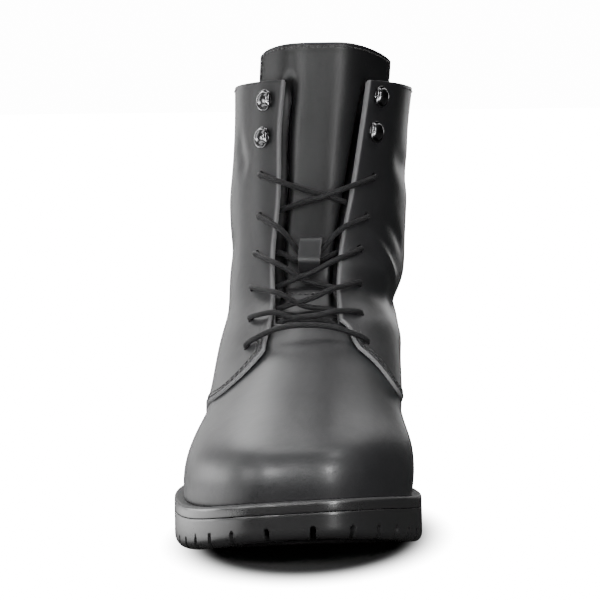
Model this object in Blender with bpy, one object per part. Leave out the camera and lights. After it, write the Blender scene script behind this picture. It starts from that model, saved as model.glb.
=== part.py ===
"""A black leather lace-up work boot, right foot, size EU 42.5.

The boot stands on its sole with the toe towards -Y, the medial side towards +X and +Z up.
Shoe sizes below are in millimetres: s runs along the length from the heel (0) to the toe,
x runs across from lateral (-) to medial (+), z is the height over the floor.
The upper is a loft of near-horizontal rings. A ring's angle runs from 0 at the back of the
heel to pi at the front, and its level runs from 0 at the sole to 11 at the collar.
"""
import math
from collections import namedtuple

import bmesh
import bpy
import numpy as np
from mathutils import Matrix, Vector

MM = 0.001
GAP = 0.3                     # clearance between pieces that meet

SOLE_LENGTH = 304.0
SOLE_POINTS = 33              # steps along each side of the sole's outline
MIDSOLE_THICKNESS = 5.0
FORE_FLAT = (156.0, 215.0)    # stretch of the forepart that touches the floor
TOE_SPRING = 14.0
TOE_TWIST = 0.055             # how much more the toe lifts on its medial side, for each mm across
TWIST_RANGE = (212.0, 286.0)
HEEL_BREAST = 78.0
HEEL_BACK_LIFT = 2.0
HEEL_BACK_LENGTH = 12.0
WAIST_HEIGHT = (11.0, 6.0)    # underside of the waist behind and in front
LUG_DEPTH = 5.0
TOE_NOTCHES = (10.0, 28.0, 43.5, 57.0)      # along the edge from the toe's tip to each notch
NOTCH_SHIFT = 2.2             # by which they all lie nearer the lateral side
SIDE_PITCH = 12.5             # between the notches along the sides and round the heel
NOTCH_WIDTH = 2.6
NOTCH_HEIGHT = 6.0
EDGE_LUG_LENGTH = 11.0
GROOVE_WIDTH = 4.0

VAMP_WALL = 2.2
OVERLAY = 1.6                 # the quarter's leather over the vamp
OVERLAY_LIFT = 1.3            # how much more the quarter's corner stands off at the throat
SHAFT_INSIDE = 1.0            # inner face of the shaft, under the vamp's level
INSOLE_THICKNESS = 3.2
INSOLE_INSET = 1.2            # from the upper's inner face

TONGUE_THICKNESS = 2.6
TONGUE_DEPTH = 6.4            # tongue's face under the level of the upper

LACE_DIAMETER = 2.6
EYELET_RADIUS = 1.9
Row = namedtuple("Row", "height lateral_back medial_back")  # back is from the facing's edge
EYELETS = (                   # lowest row first
    Row(83.6, 14.4, 8.0),
    Row(94.6, 10.5, 17.0),
    Row(107.9, 11.4, 16.4),
    Row(123.4, 8.4, 14.2),
    Row(140.9, 6.8, 14.4),
    Row(160.4, 6.8, 14.6),
)
HOOKS = {"low": Row(178.0, 7.2, 9.8), "high": Row(196.0, 7.2, 9.8)}
MEDIAL_RAISE = 2.0            # how much higher the medial row of holes and hooks sits
HOOK_RADIUS = 5.3

BLACK_LEATHER = (0.018, 0.018, 0.020)
BLACK_RUBBER = (0.022, 0.022, 0.023)
GUNMETAL = (0.20, 0.20, 0.21)


# ---------------------------------------------------------------- numbers

def spline(knots, values):
    """A natural cubic spline through the knots, as a function of an array."""
    x, y = np.asarray(knots, float), np.asarray(values, float)
    h = np.diff(x)
    n = len(x)
    system = np.eye(n)
    right = np.zeros(n)
    for i in range(1, n - 1):
        system[i, i - 1:i + 2] = h[i - 1], 2 * (h[i - 1] + h[i]), h[i]
        right[i] = 6 * ((y[i + 1] - y[i]) / h[i] - (y[i] - y[i - 1]) / h[i - 1])
    bend = np.linalg.solve(system, right)

    def at(t):
        t = np.asarray(t, float)
        i = np.clip(np.searchsorted(x, t) - 1, 0, n - 2)
        a, b, step = x[i + 1] - t, t - x[i], h[i]
        return (bend[i] * a ** 3 + bend[i + 1] * b ** 3) / (6 * step) \
            + (y[i] / step - bend[i] * step / 6) * a + (y[i + 1] / step - bend[i + 1] * step / 6) * b

    return at


def smooth_step(t):
    t = np.clip(t, 0, 1)
    return t * t * (3 - 2 * t)


# ---------------------------------------------------------------- sole outline

# share of the length, half width before its ends are rounded off, centre line
SOLE_TABLE = np.array([
    # share  half   centre
    (0.00, 45.0, 0.0),
    (0.08, 47.5, 0.0),
    (0.16, 47.0, -0.4),
    (0.25, 43.2, -1.6),
    (0.35, 38.0, -4.0),
    (0.45, 36.6, -7.2),
    (0.54, 41.5, -8.4),
    (0.62, 50.6, -6.4),
    (0.70, 58.4, -3.0),
    (0.78, 61.6, -0.8),
    (0.86, 61.6, 0.8),
    (0.93, 58.0, 1.8),
    (1.00, 50.0, 2.4),
])
SOLE_HALF = spline(SOLE_TABLE[:, 0], SOLE_TABLE[:, 1])
SOLE_CENTRE = spline(SOLE_TABLE[:, 0], SOLE_TABLE[:, 2])
HEEL_ROUNDING = 0.60
TOE_ROUNDING = 0.62
OUTSOLE_TOP = spline((0, 40, 70, 95, 120, 145, 170, 200, 235, 270, 304),
                     (28.6, 28.2, 27.2, 24.8, 21.6, 18.4, 16.4, 15.9, 16.5, 20.0, 25.6))


def rounded(angle, back, front):
    """How much of its half width a ring has at this angle: none at either end."""
    power = np.where(np.cos(angle) > 0, back, front)
    return np.abs(np.sin(angle)) ** power


def sole_edge(angle, side):
    """(s, x) on the sole's widest outline; side is -1 for lateral and 1 for medial."""
    s = SOLE_LENGTH / 2 * (1 - np.cos(angle))
    half = SOLE_HALF(s / SOLE_LENGTH) * rounded(angle, HEEL_ROUNDING, TOE_ROUNDING)
    return s, SOLE_CENTRE(s / SOLE_LENGTH) + side * half


def sole_loop():
    """The closed outline as an array of (s, x): lateral from heel to toe, then medial back."""
    angle = np.linspace(0, math.pi, SOLE_POINTS + 1)
    lateral = np.stack(sole_edge(angle, -1), 1)
    medial = np.stack(sole_edge(angle, 1), 1)
    return np.concatenate([lateral, medial[-2:0:-1]])


def inset(loop, distance):
    """The loop moved inwards by a distance."""
    ahead = np.roll(loop, -1, 0) - loop
    behind = loop - np.roll(loop, 1, 0)
    along = ahead / np.linalg.norm(ahead, axis=1)[:, None] + behind / np.linalg.norm(behind, axis=1)[:, None]
    along /= np.linalg.norm(along, axis=1)[:, None]
    outward = np.stack([along[:, 1], -along[:, 0]], 1)
    return loop - distance * outward


OUTLINE = sole_loop()
AXIS_X = -(OUTLINE[:, 1].max() + OUTLINE[:, 1].min()) / 2


def tread_height(s):
    """The underside of the outsole: heel, breast, waist, flat forepart and toe spring."""
    s = np.asarray(s, float)
    behind, ahead = WAIST_HEIGHT
    waist = behind + (ahead - behind) * (s - HEEL_BREAST) / (FORE_FLAT[0] - HEEL_BREAST)
    toe = TOE_SPRING * (np.clip(s - FORE_FLAT[1], 0, None) / (SOLE_LENGTH - FORE_FLAT[1])) ** 1.7
    heel = HEEL_BACK_LIFT * (np.clip(HEEL_BACK_LENGTH - s, 0, None) / HEEL_BACK_LENGTH) ** 2
    return np.where(s <= HEEL_BREAST, heel, np.where(s < FORE_FLAT[0], waist, toe))


def midsole_top(s):
    return OUTSOLE_TOP(s) + GAP + MIDSOLE_THICKNESS


# ---------------------------------------------------------------- upper's surface

# One row for each level: the ring's back and front ends, its half widths at five shares of its
# own length before its ends are rounded off, the rounding of its ends, and how far it follows
# the dip of the sole.
RING_COLUMNS = ("back_s", "back_z", "front_s", "front_z",
                "half_0", "half_20", "half_40", "half_60", "half_80", "half_100",
                "round_back", "round_front", "dip")
RING_TABLE = np.array([
    (4.6, 34.2, 300.6, 31.2, 42.0, 43.8, 34.4, 45.6, 57.2, 48.0, 0.60, 0.62, 1.00),
    (2.4, 44.0, 301.2, 40.0, 42.4, 44.6, 36.2, 46.8, 57.6, 48.0, 0.60, 0.62, 0.85),
    (2.6, 55.0, 297.0, 50.0, 41.0, 43.2, 37.2, 46.0, 54.8, 47.0, 0.60, 0.63, 0.62),
    (4.4, 65.5, 281.5, 58.6, 39.2, 41.4, 37.2, 42.6, 49.2, 44.0, 0.62, 0.67, 0.40),
    (6.8, 75.5, 249.0, 70.6, 37.6, 39.6, 38.2, 42.4, 45.2, 41.0, 0.64, 0.74, 0.20),
    (9.4, 85.5, 218.0, 84.2, 36.2, 38.8, 39.0, 41.6, 43.0, 39.0, 0.66, 0.80, 0.06),
    (11.6, 96.0, 197.0, 95.0, 35.2, 38.0, 39.0, 39.6, 40.4, 37.0, 0.68, 0.80, 0.00),
    (13.6, 109.0, 178.0, 107.5, 34.8, 38.6, 40.8, 40.2, 39.0, 36.0, 0.70, 0.78, 0.00),
    (15.0, 127.0, 160.6, 126.0, 35.4, 39.4, 41.2, 40.6, 39.0, 36.0, 0.70, 0.76, 0.00),
    (15.4, 149.0, 147.6, 151.0, 36.6, 40.4, 41.8, 41.0, 39.6, 37.0, 0.70, 0.75, 0.00),
    (14.8, 173.0, 139.6, 180.0, 37.6, 40.6, 41.4, 40.6, 39.6, 37.6, 0.70, 0.75, 0.00),
    (13.8, 194.0, 135.4, 205.2, 38.4, 41.4, 42.4, 41.6, 40.4, 38.0, 0.70, 0.75, 0.00),
    (12.8, 213.0, 133.6, 226.4, 39.0, 42.2, 43.4, 42.4, 41.0, 38.0, 0.70, 0.75, 0.00),
])
RING = {name: spline(range(len(RING_TABLE)), RING_TABLE[:, i]) for i, name in enumerate(RING_COLUMNS)}
HALF_SHARES = (0.0, 0.2, 0.4, 0.6, 0.8, 1.0)
HALF_NAMES = ("half_0", "half_20", "half_40", "half_60", "half_80", "half_100")
HALF_BASIS = [spline(HALF_SHARES, unit) for unit in np.eye(len(HALF_SHARES))]
CENTRE_FADE = spline((0, 3, 6, 8, 12), (1.0, 0.7, 0.1, 0.0, 0.0))
RIDGE_SHIFT = spline((0, 1, 2, 3, 4, 5, 6, 7, 8, 12), (0.0, 0.8, 2.2, 3.4, 4.8, 4.6, 2.8, 1.4, 0.4, 0.0))
SHAFT_LEAN = spline((0, 5, 6, 8, 9, 10, 11, 12), (0.0, 0.0, 0.0, 0.2, 0.7, 1.6, 3.0, 4.0))
ANKLE_DENT = 3.2              # the slack of the medial side where ankle and instep meet
DENT_PLACE = (6.1, 0.46)      # its level and share of the ring
DENT_SPREAD = (0.7, 0.26)

THROAT_LEVEL = 6.0
COLLAR_LEVEL = 11.0
EDGE_LEVELS = (0, 1, 2, 3, 3.5, 4, 4.5, 5)
QUARTER_EDGE = {              # s of the quarter's front edge over the vamp, for each side
    -1: spline(EDGE_LEVELS, (130.0, 143.0, 160.0, 187.0, 207.0, 214.3, 213.8, 208.9)),
    1: spline(EDGE_LEVELS, (130.0, 143.0, 160.0, 186.0, 202.0, 206.8, 206.6, 206.2)),
}
TURN_LEVELS = (5, 5.25, 5.5, 5.75, 6)
EDGE_TURN = {                 # how far the edge has turned from the vamp into the facing
    -1: spline(TURN_LEVELS, (0.0, 0.09, 0.41, 0.80, 1.0)),
    1: spline(TURN_LEVELS, (0.0, 0.30, 0.44, 0.62, 1.0)),
}
THROAT_MIDDLE = spline((5, 6, 7, 8, 9, 10, 11, 12), (-5.6, -5.2, -4.8, -3.4, -0.8, 1.4, 2.9, 3.6))
HALF_THROAT = spline((6, 7, 8, 9, 10, 11, 12), (14.4, 14.0, 15.2, 17.4, 19.2, 20.2, 20.6))


def ring_centre(s, level):
    """Middle of a ring across: over the sole's own middle low down, over the instep higher up."""
    over_instep = np.exp(-((s - 195.0) / 52.0) ** 2)
    return SOLE_CENTRE(s / SOLE_LENGTH) * CENTRE_FADE(level) + RIDGE_SHIFT(level) * over_instep + SHAFT_LEAN(level)


def upper_point(angle, level):
    """Points (s, x, z) of the vamp's outer surface; an angle over pi is on the medial side."""
    angle, level = np.broadcast_arrays(np.mod(angle, 2 * math.pi), np.asarray(level, float))
    at = {name: curve(level) for name, curve in RING.items()}
    share = (1 - np.cos(angle)) / 2
    s = at["back_s"] + (at["front_s"] - at["back_s"]) * share
    half = sum(basis(share) * at[name] for basis, name in zip(HALF_BASIS, HALF_NAMES))
    side = np.where(angle > math.pi, 1.0, -1.0)
    centre = ring_centre(s, level)
    x = centre + side * half * rounded(angle, at["round_back"], at["round_front"])
    up, forward = ((value - place) / spread
                   for value, place, spread in zip((level, share), DENT_PLACE, DENT_SPREAD))
    dent = np.exp(-up ** 2 - forward ** 2)
    x -= np.where(angle > math.pi, ANKLE_DENT * dent, 0.0)
    chord = RING_TABLE[0, 1] + (RING_TABLE[0, 3] - RING_TABLE[0, 1]) * share
    dip = at["dip"] * (midsole_top(s) + GAP - chord)
    return np.stack([s, x, at["back_z"] + (at["front_z"] - at["back_z"]) * share + dip], -1)


def upper_normal(angle, level, flat=False):
    """Outward unit normals; flat ones have no height, for the rims."""
    step = 0.03
    along = upper_point(angle + step, level) - upper_point(angle - step, level)
    up = upper_point(angle, np.add(level, step)) - upper_point(angle, np.subtract(level, step))
    normal = np.cross(along, up)
    if flat:
        normal[..., 2] = 0
    return normal / np.linalg.norm(normal, axis=-1, keepdims=True)


def angle_at_s(s, level):
    share = (s - RING["back_s"](level)) / (RING["front_s"](level) - RING["back_s"](level))
    return math.acos(1 - 2 * min(max(float(share), 0.0), 1.0))


def angle_at_half(half, level):
    """The angle from the heel, near the front, where the ring is this far off its own middle."""
    low, high = math.pi / 2, math.pi
    for _ in range(40):
        middle = (low + high) / 2
        point = upper_point(middle, level)
        if float(ring_centre(point[0], level)) - point[1] > half:
            low = middle
        else:
            high = middle
    return (low + high) / 2


def throat_angle(half, level, side):
    """The angle of a line beside the throat, whose middle lies off the ring's own middle."""
    return angle_at_half(float(half) + side * float(THROAT_MIDDLE(level)), level)


def front_edge(level, side):
    """Angle from the heel to the quarter's edge: over the vamp below the throat, then the facing."""
    if level >= THROAT_LEVEL:
        return throat_angle(HALF_THROAT(level), level, side)
    if level <= 5:
        return angle_at_s(float(QUARTER_EDGE[side](level)), level)
    mix = float(EDGE_TURN[side](level))
    below = angle_at_s(float(QUARTER_EDGE[side](5)), 5)
    return below + (throat_angle(HALF_THROAT(THROAT_LEVEL), THROAT_LEVEL, side) - below) * mix


def quarter_lift(level):
    """How much more the quarter's corner beside the foot of the throat stands off."""
    return OVERLAY_LIFT * math.exp(-((level - THROAT_LEVEL + 0.4) / 0.9) ** 2)


def hole_place(side, row):
    """(angle, level) of a hole or hook, from its row."""
    if side < 0:
        return facing_place(side, row.height, row.lateral_back)
    return facing_place(side, row.height + MEDIAL_RAISE, row.medial_back)


def facing_place(side, height, back):
    """(angle, level) on the quarter at a height, a distance back from its front edge."""
    low, high = 4.6, COLLAR_LEVEL
    for _ in range(30):
        level = (low + high) / 2
        if upper_point(side * -front_edge(level, side), level)[2] < height:
            low = level
        else:
            high = level
    angle, walked = front_edge(level, side), 0.0
    step = 0.004
    while walked < back:
        here, there = upper_point(side * -angle, level), upper_point(side * -(angle - step), level)
        walked += float(np.linalg.norm(there - here))
        angle -= step
    return side * -angle, level


def surface_spot(angle, level):
    """(point, normal, up) on the upper."""
    point = upper_point(angle, level)
    normal = upper_normal(angle, level)
    up = upper_point(angle, level + 0.1) - point
    up -= normal * float(up @ normal)
    return point, normal, up / np.linalg.norm(up)


# ---------------------------------------------------------------- Blender helpers

def to_world(point):
    """(s, x, z) in shoe millimetres to metres, with the toe's twist and the sole centred on the origin."""
    s, x, z = (float(value) for value in point)
    start, end = TWIST_RANGE
    z += TOE_TWIST * float(smooth_step((s - start) / (end - start))) * x
    return Vector(((x + AXIS_X) * MM, (SOLE_LENGTH / 2 - s) * MM, z * MM))


def direction(vector):
    s, x, z = (float(value) for value in vector)
    return Vector((x, -s, z)).normalized()


def material(name, colour, roughness, metallic=0.0):
    made = bpy.data.materials.new(name)
    made.use_nodes = True
    shader = made.node_tree.nodes["Principled BSDF"]
    shader.inputs["Base Color"].default_value = (*colour, 1.0)
    shader.inputs["Roughness"].default_value = roughness
    shader.inputs["Metallic"].default_value = metallic
    return made


def collection(name):
    made = bpy.data.collections.new(name)
    bpy.context.scene.collection.children.link(made)
    return made


def add_mesh(name, mesh_builder, finish, folder):
    """A mesh object from a bmesh whose faces are turned outwards."""
    bmesh.ops.recalc_face_normals(mesh_builder, faces=mesh_builder.faces)
    mesh = bpy.data.meshes.new(name)
    mesh_builder.to_mesh(mesh)
    mesh_builder.free()
    mesh.shade_smooth()
    mesh.set_sharp_from_angle(angle=math.radians(40))
    made = bpy.data.objects.new(name, mesh)
    if finish is not None:
        made.data.materials.append(finish)
    folder.objects.link(made)
    return made


def add_verts(builder, points):
    """A grid of bmesh vertices as nested lists, from an array whose last axis is (s, x, z)."""
    if points.ndim == 1:
        return builder.verts.new(to_world(points))
    return [add_verts(builder, row) for row in points]


def quads(builder, first, second, closed=False):
    """A strip of faces between two rows of vertices."""
    count = len(first)
    for i in range(count if closed else count - 1):
        j = (i + 1) % count
        corners = list(dict.fromkeys((first[i], first[j], second[j], second[i])))
        if len(corners) > 2:
            builder.faces.new(corners)


def boolean(target, cutter, operation="DIFFERENCE"):
    made = target.modifiers.new(operation.title(), "BOOLEAN")
    made.operation = operation
    made.object = cutter
    made.solver = "EXACT"


def as_cutter(made):
    made.hide_render = True
    made.display_type = "WIRE"
    return made


# ---------------------------------------------------------------- sole pieces

def ladder_solid(builder, loops):
    """A closed solid from stacked outline loops: walls between them and a ladder of caps."""
    rows = [add_verts(builder, loop) for loop in loops]
    for lower, higher in zip(rows, rows[1:]):
        quads(builder, lower, higher, closed=True)
    count = len(rows[0])
    for row in (rows[0], rows[-1]):
        for i in range(count // 2):
            corners = dict.fromkeys((row[i], row[i + 1], row[-i - 1], row[-i] if i else row[0]))
            if len(corners) > 2:
                builder.faces.new(list(corners))


def with_height(loop, height):
    return np.concatenate([loop, height[:, None]], 1)


def breast_stations(loop):
    """The outline with two close stations at each step of the tread, so that the steps are sheer."""
    half = len(loop) // 2
    steps = (HEEL_BREAST - 0.2, HEEL_BREAST + 0.2, FORE_FLAT[0] - 0.2, FORE_FLAT[0] + 0.2)
    sides = []
    for side in (loop[:half + 1], np.concatenate([loop[half:], loop[:1]])[::-1]):
        kept = [row for row in side if all(abs(row[0] - s) > 2.0 for s in steps)]
        added = [(s, np.interp(s, side[:, 0], side[:, 1])) for s in steps]
        sides.append(np.array(sorted([tuple(row) for row in kept] + added)))
    return np.concatenate([sides[0], sides[1][-2:0:-1]])


OUTSOLE_FOOT = ((2.2, 0.0), (0.0, 2.6))         # (inwards, up from the tread): a chamfered edge
OUTSOLE_HEAD = ((0.5, 1.2), (1.3, 0.0))         # (inwards, down from the top)


def make_outsole(finish, folder, cutters):
    loop = breast_stations(OUTLINE)
    builder = bmesh.new()
    rows = []
    for inwards, rise in OUTSOLE_FOOT:
        rows.append(with_height(inset(loop, inwards), tread_height(loop[:, 0]) + rise))
    for inwards, drop in OUTSOLE_HEAD:
        line = inset(loop, inwards)
        rows.append(with_height(line, OUTSOLE_TOP(line[:, 0]) - drop))
    ladder_solid(builder, rows)
    outsole = add_mesh("outsole", builder, finish, folder)
    for cutter in (edge_notches(cutters), ring_groove(cutters), cross_grooves(cutters)):
        boolean(outsole, cutter)
    return outsole


def edge_places(side, distances, from_toe):
    """Places (point, outward) on one side's edge, at distances along it from the toe or the heel."""
    angle = np.linspace(0, math.pi, 400)
    line = np.stack(sole_edge(angle, side), 1)[::-1 if from_toe else 1]
    along = np.concatenate([[0], np.cumsum(np.linalg.norm(np.diff(line, axis=0), axis=1))])
    found = []
    for distance in distances:
        point, ahead = (np.array([np.interp(distance + step, along, line[:, axis]) for axis in (0, 1)])
                        for step in (0, 1))
        s, x = (ahead - point) / np.linalg.norm(ahead - point)
        outward = np.array([-x, s])
        found.append((point, outward * math.copysign(1, outward[1] * side)))
    return found


def block(builder, centre, across, low, high, length, width):
    """A box on plan point centre, long along the direction across, from one height to another."""
    side = np.array([-across[1], across[0]])
    rows = []
    for height in (low, high):
        rows.append([centre + across * a * length / 2 + side * b * width / 2
                     for a, b in ((-1, -1), (1, -1), (1, 1), (-1, 1))])
    bottom = [builder.verts.new(to_world((*point, low))) for point in rows[0]]
    top = [builder.verts.new(to_world((*point, high))) for point in rows[1]]
    quads(builder, bottom, top, closed=True)
    builder.faces.new(bottom)
    builder.faces.new(top[::-1])


def edge_notches(cutters):
    """Notches between the lugs around the forepart and the heel."""
    builder = bmesh.new()
    along_side = np.arange(TOE_NOTCHES[-1] + SIDE_PITCH, SOLE_LENGTH, SIDE_PITCH)
    round_heel = np.arange(SIDE_PITCH / 2, SOLE_LENGTH, SIDE_PITCH)
    for side in (-1, 1):
        from_toe = np.array([*TOE_NOTCHES, *along_side]) - NOTCH_SHIFT * side
        places = [place for place in edge_places(side, from_toe, True)
                  if place[0][0] > FORE_FLAT[0] + 3]
        places += [place for place in edge_places(side, round_heel, False)
                   if place[0][0] < HEEL_BREAST - 3]
        for point, outward in places:
            floor = float(tread_height(point[0]))
            block(builder, point, outward, floor - 4.0, floor + NOTCH_HEIGHT,
                  2 * EDGE_LUG_LENGTH, NOTCH_WIDTH)
    return as_cutter(add_mesh("cut_edge_notches", builder, None, cutters))


def ring_groove(cutters):
    """The groove that parts the edge lugs from those in the middle, under heel and forepart."""
    builder = bmesh.new()
    outer, inner = inset(OUTLINE, EDGE_LUG_LENGTH), inset(OUTLINE, EDGE_LUG_LENGTH + GROOVE_WIDTH)
    for keep in (OUTLINE[:, 0] < HEEL_BREAST - 14, OUTLINE[:, 0] > FORE_FLAT[0] + 14):
        first = int(np.flatnonzero(keep & ~np.roll(keep, 1))[0])
        order = [(first + i) % len(keep) for i in range(int(keep.sum()))]
        rows = []
        for line, rise in ((outer, -4.0), (outer, LUG_DEPTH), (inner, LUG_DEPTH), (inner, -4.0)):
            height = tread_height(OUTLINE[order, 0]) + rise
            rows.append(add_verts(builder, with_height(line[order], height)))
        for row, following in zip(rows, rows[1:] + rows[:1]):
            quads(builder, row, following)
        builder.faces.new([row[0] for row in rows])
        builder.faces.new([row[-1] for row in rows][::-1])
    return as_cutter(add_mesh("cut_ring_groove", builder, None, cutters))


def cross_grooves(cutters):
    """Grooves across the middle of the tread."""
    builder = bmesh.new()
    for s in (22.0, 42.0, 62.0, 178.0, 198.0, 218.0, 238.0, 258.0, 276.0):
        share = s / SOLE_LENGTH
        angle = math.acos(1 - 2 * share)
        half = float(SOLE_HALF(share) * rounded(angle, HEEL_ROUNDING, TOE_ROUNDING)) - EDGE_LUG_LENGTH - 1.5
        centre = np.array([s, float(SOLE_CENTRE(share))])
        floor = float(tread_height(s))
        block(builder, centre, np.array([0.0, 1.0]), floor - 4.0, floor + LUG_DEPTH - 0.6, 2 * half, 3.4)
    return as_cutter(add_mesh("cut_cross_grooves", builder, None, cutters))


def make_midsole(finish, folder):
    """The rubber band between outsole and upper, with a rounded edge."""
    builder = bmesh.new()
    rows = []
    for inwards, share in ((1.9, 0.0), (0.9, 0.22), (0.7, 0.6), (1.3, 0.9), (2.4, 1.0)):
        line = inset(OUTLINE, inwards)
        rows.append(with_height(line, OUTSOLE_TOP(line[:, 0]) + GAP + share * MIDSOLE_THICKNESS))
    ladder_solid(builder, rows)
    return add_mesh("midsole", builder, finish, folder)


def make_insole(finish, folder):
    """The footbed inside the upper."""
    angle = np.linspace(0, 2 * math.pi, 2 * SOLE_POINTS, endpoint=False)
    loop = upper_point(angle, 0.0)
    flat = inset(loop[:, :2], VAMP_WALL + INSOLE_INSET)
    height = midsole_top(flat[:, 0]) + 2 * GAP
    builder = bmesh.new()
    ladder_solid(builder, [with_height(flat, height), with_height(flat, height + INSOLE_THICKNESS)])
    return add_mesh("insole", builder, finish, folder)


# ---------------------------------------------------------------- upper

VAMP_COLUMNS = 22
QUARTER_COLUMNS = 34
UPPER_LEVELS = np.concatenate([np.arange(0, 6, 0.5), np.arange(6, 11.01, 0.625)])
CORNER_COLUMNS = 5            # columns over which the lift and the thicker wall fade out


def column_angles(level, count, over_vamp):
    """Angles of a ring's columns, over the vamp or round the heel."""
    lateral, medial = front_edge(level, -1), front_edge(level, 1)
    share = np.linspace(0, 1, count + 1)
    if over_vamp:
        return lateral + (2 * math.pi - medial - lateral) * share
    return lateral - (medial + lateral) * share


def upper_surfaces(over_vamp):
    """(outer, inner) grids of points for the vamp or the quarters."""
    count = VAMP_COLUMNS if over_vamp else QUARTER_COLUMNS
    outer, inner = [], []
    for level in UPPER_LEVELS:
        if over_vamp and level > THROAT_LEVEL:
            break
        angle = column_angles(level, count, over_vamp)
        flat = level in (0.0, COLLAR_LEVEL)
        point, normal = upper_point(angle, level), upper_normal(angle, level, flat)
        if over_vamp:
            out, depth = np.zeros(count + 1), np.full(count + 1, VAMP_WALL)
        else:
            column = np.arange(count + 1)
            near = 1 - smooth_step(np.minimum(column, count - column) / CORNER_COLUMNS)
            out = OVERLAY + quarter_lift(level) * near
            below = float(smooth_step((THROAT_LEVEL + 0.9 - level) / 0.8))
            depth = SHAFT_INSIDE + (VAMP_WALL - SHAFT_INSIDE) * near * below
        outer.append(point + normal * out[:, None])
        inner.append(point - normal * depth[:, None])
    return np.array(outer), np.array(inner)


def make_upper(finish, folder, cutters):
    """Vamp and quarters as one hollow shell, with the quarters a step thicker over the vamp."""
    builder = bmesh.new()
    vamp_out, vamp_in = (add_verts(builder, grid) for grid in upper_surfaces(True))
    quarter_out, quarter_in = (add_verts(builder, grid) for grid in upper_surfaces(False))
    throat = len(vamp_out) - 1
    for row in range(throat + 1):                   # both blocks share their inner edges
        for old, new in ((vamp_in[row][0], quarter_in[row][0]), (vamp_in[row][-1], quarter_in[row][-1])):
            builder.verts.remove(old)
        vamp_in[row][0], vamp_in[row][-1] = quarter_in[row][0], quarter_in[row][-1]
    for grid in (vamp_out, vamp_in, quarter_out, quarter_in):
        for lower, higher in zip(grid, grid[1:]):
            quads(builder, lower, higher)
    for end in (0, -1):                             # step walls, then the facings' edges
        steps = [[row[end] for row in grid[:throat + 1]] for grid in (vamp_out, quarter_out)]
        quads(builder, *steps)
        quads(builder, [row[end] for row in quarter_out[throat:]], [row[end] for row in quarter_in[throat:]])
    quads(builder, vamp_out[0], vamp_in[0])         # rim on the sole
    quads(builder, quarter_out[0], quarter_in[0])
    quads(builder, vamp_out[throat], vamp_in[throat])
    quads(builder, quarter_out[-1], quarter_in[-1])  # collar
    for row in (0, throat):                         # the step's ends
        for end in (0, -1):
            builder.faces.new((vamp_out[row][end], quarter_out[row][end], vamp_in[row][end]))
    upper = add_mesh("upper", builder, finish, folder)
    boolean(upper, eyelet_holes(cutters))
    return upper


def spot_matrix(side, row, out):
    """Axes of a hole's place on a facing: X towards the throat, Y up along it, Z outwards."""
    point, normal, up = surface_spot(*hole_place(side, row))
    outward, upward = direction(normal), direction(up)
    inward = upward.cross(outward)
    if inward.x * side > 0:
        inward = -inward
        upward = outward.cross(inward)
    axes = Matrix((inward, upward, outward)).transposed().to_4x4()
    return Matrix.Translation(to_world(point + normal * out)) @ axes


def eyelet_holes(cutters):
    """Rods that cut the lace holes."""
    builder = bmesh.new()
    for side in (-1, 1):
        for row in EYELETS:
            bmesh.ops.create_cone(builder, cap_ends=True, segments=10, radius1=EYELET_RADIUS * MM,
                                  radius2=EYELET_RADIUS * MM, depth=14 * MM,
                                  matrix=spot_matrix(side, row, 0.0))
    return as_cutter(add_mesh("cut_eyelets", builder, None, cutters))


# ---------------------------------------------------------------- tongue

TONGUE_COLUMNS = 12
TONGUE_HALF = spline((5.4, 6.0, 7.0, 8.5, 10.0, 11.0, 11.8), (19.0, 21.0, 25.0, 30.0, 34.4, 36.6, 36.8))
TONGUE_LEVELS = (5.45, 5.75, 6.0, 6.3, 6.65, 7.0, 7.32, 7.38, 8.0, 8.8, 9.6, 10.4, 11.0, 11.45, 11.82)
TONGUE_STEP = (6.4, 7.35)     # levels between which the tongue carries a second layer
TONGUE_LAYER = 0.9
CORNER_START = 10.4           # above this the tongue's corners fall away
LATERAL_DROP = 0.18           # levels by which each top corner lies lower
MEDIAL_DROP = 0.30


def tongue_depth(level):
    """Depth of the tongue's face under the upper's level: close under the vamp, then set back."""
    under_vamp = VAMP_WALL + 3 * GAP
    return under_vamp + (TONGUE_DEPTH - under_vamp) * smooth_step((level - THROAT_LEVEL) / 0.9)


def tongue_row(level, extra):
    """Points across the tongue at a level, at its depth plus an extra depth."""
    lateral = throat_angle(TONGUE_HALF(level), level, -1)
    medial = throat_angle(TONGUE_HALF(level), level, 1)
    share = np.linspace(0, 1, TONGUE_COLUMNS + 1)
    angle = lateral + (2 * math.pi - medial - lateral) * share
    aside = 2 * share - 1
    drop = np.where(aside < 0, LATERAL_DROP * aside ** 6, MEDIAL_DROP * aside ** 2)
    levels = level - drop * float(smooth_step((level - CORNER_START) / (TONGUE_LEVELS[-1] - CORNER_START)))
    depth = tongue_depth(levels) + extra
    if TONGUE_STEP[0] < level < TONGUE_STEP[1] and extra == 0:
        depth = depth - TONGUE_LAYER
    return upper_point(angle, levels) - upper_normal(angle, levels) * depth[:, None]


def make_tongue(finish, folder):
    builder = bmesh.new()
    fronts = [add_verts(builder, tongue_row(level, 0.0)) for level in TONGUE_LEVELS]
    backs = [add_verts(builder, tongue_row(level, TONGUE_THICKNESS)) for level in TONGUE_LEVELS]
    for grid in (fronts, backs):
        for lower, higher in zip(grid, grid[1:]):
            quads(builder, lower, higher)
    for end in (0, -1):
        quads(builder, [row[end] for row in fronts], [row[end] for row in backs])
        quads(builder, fronts[end], backs[end])
    return add_mesh("tongue", builder, finish, folder)


# ---------------------------------------------------------------- laces

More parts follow.
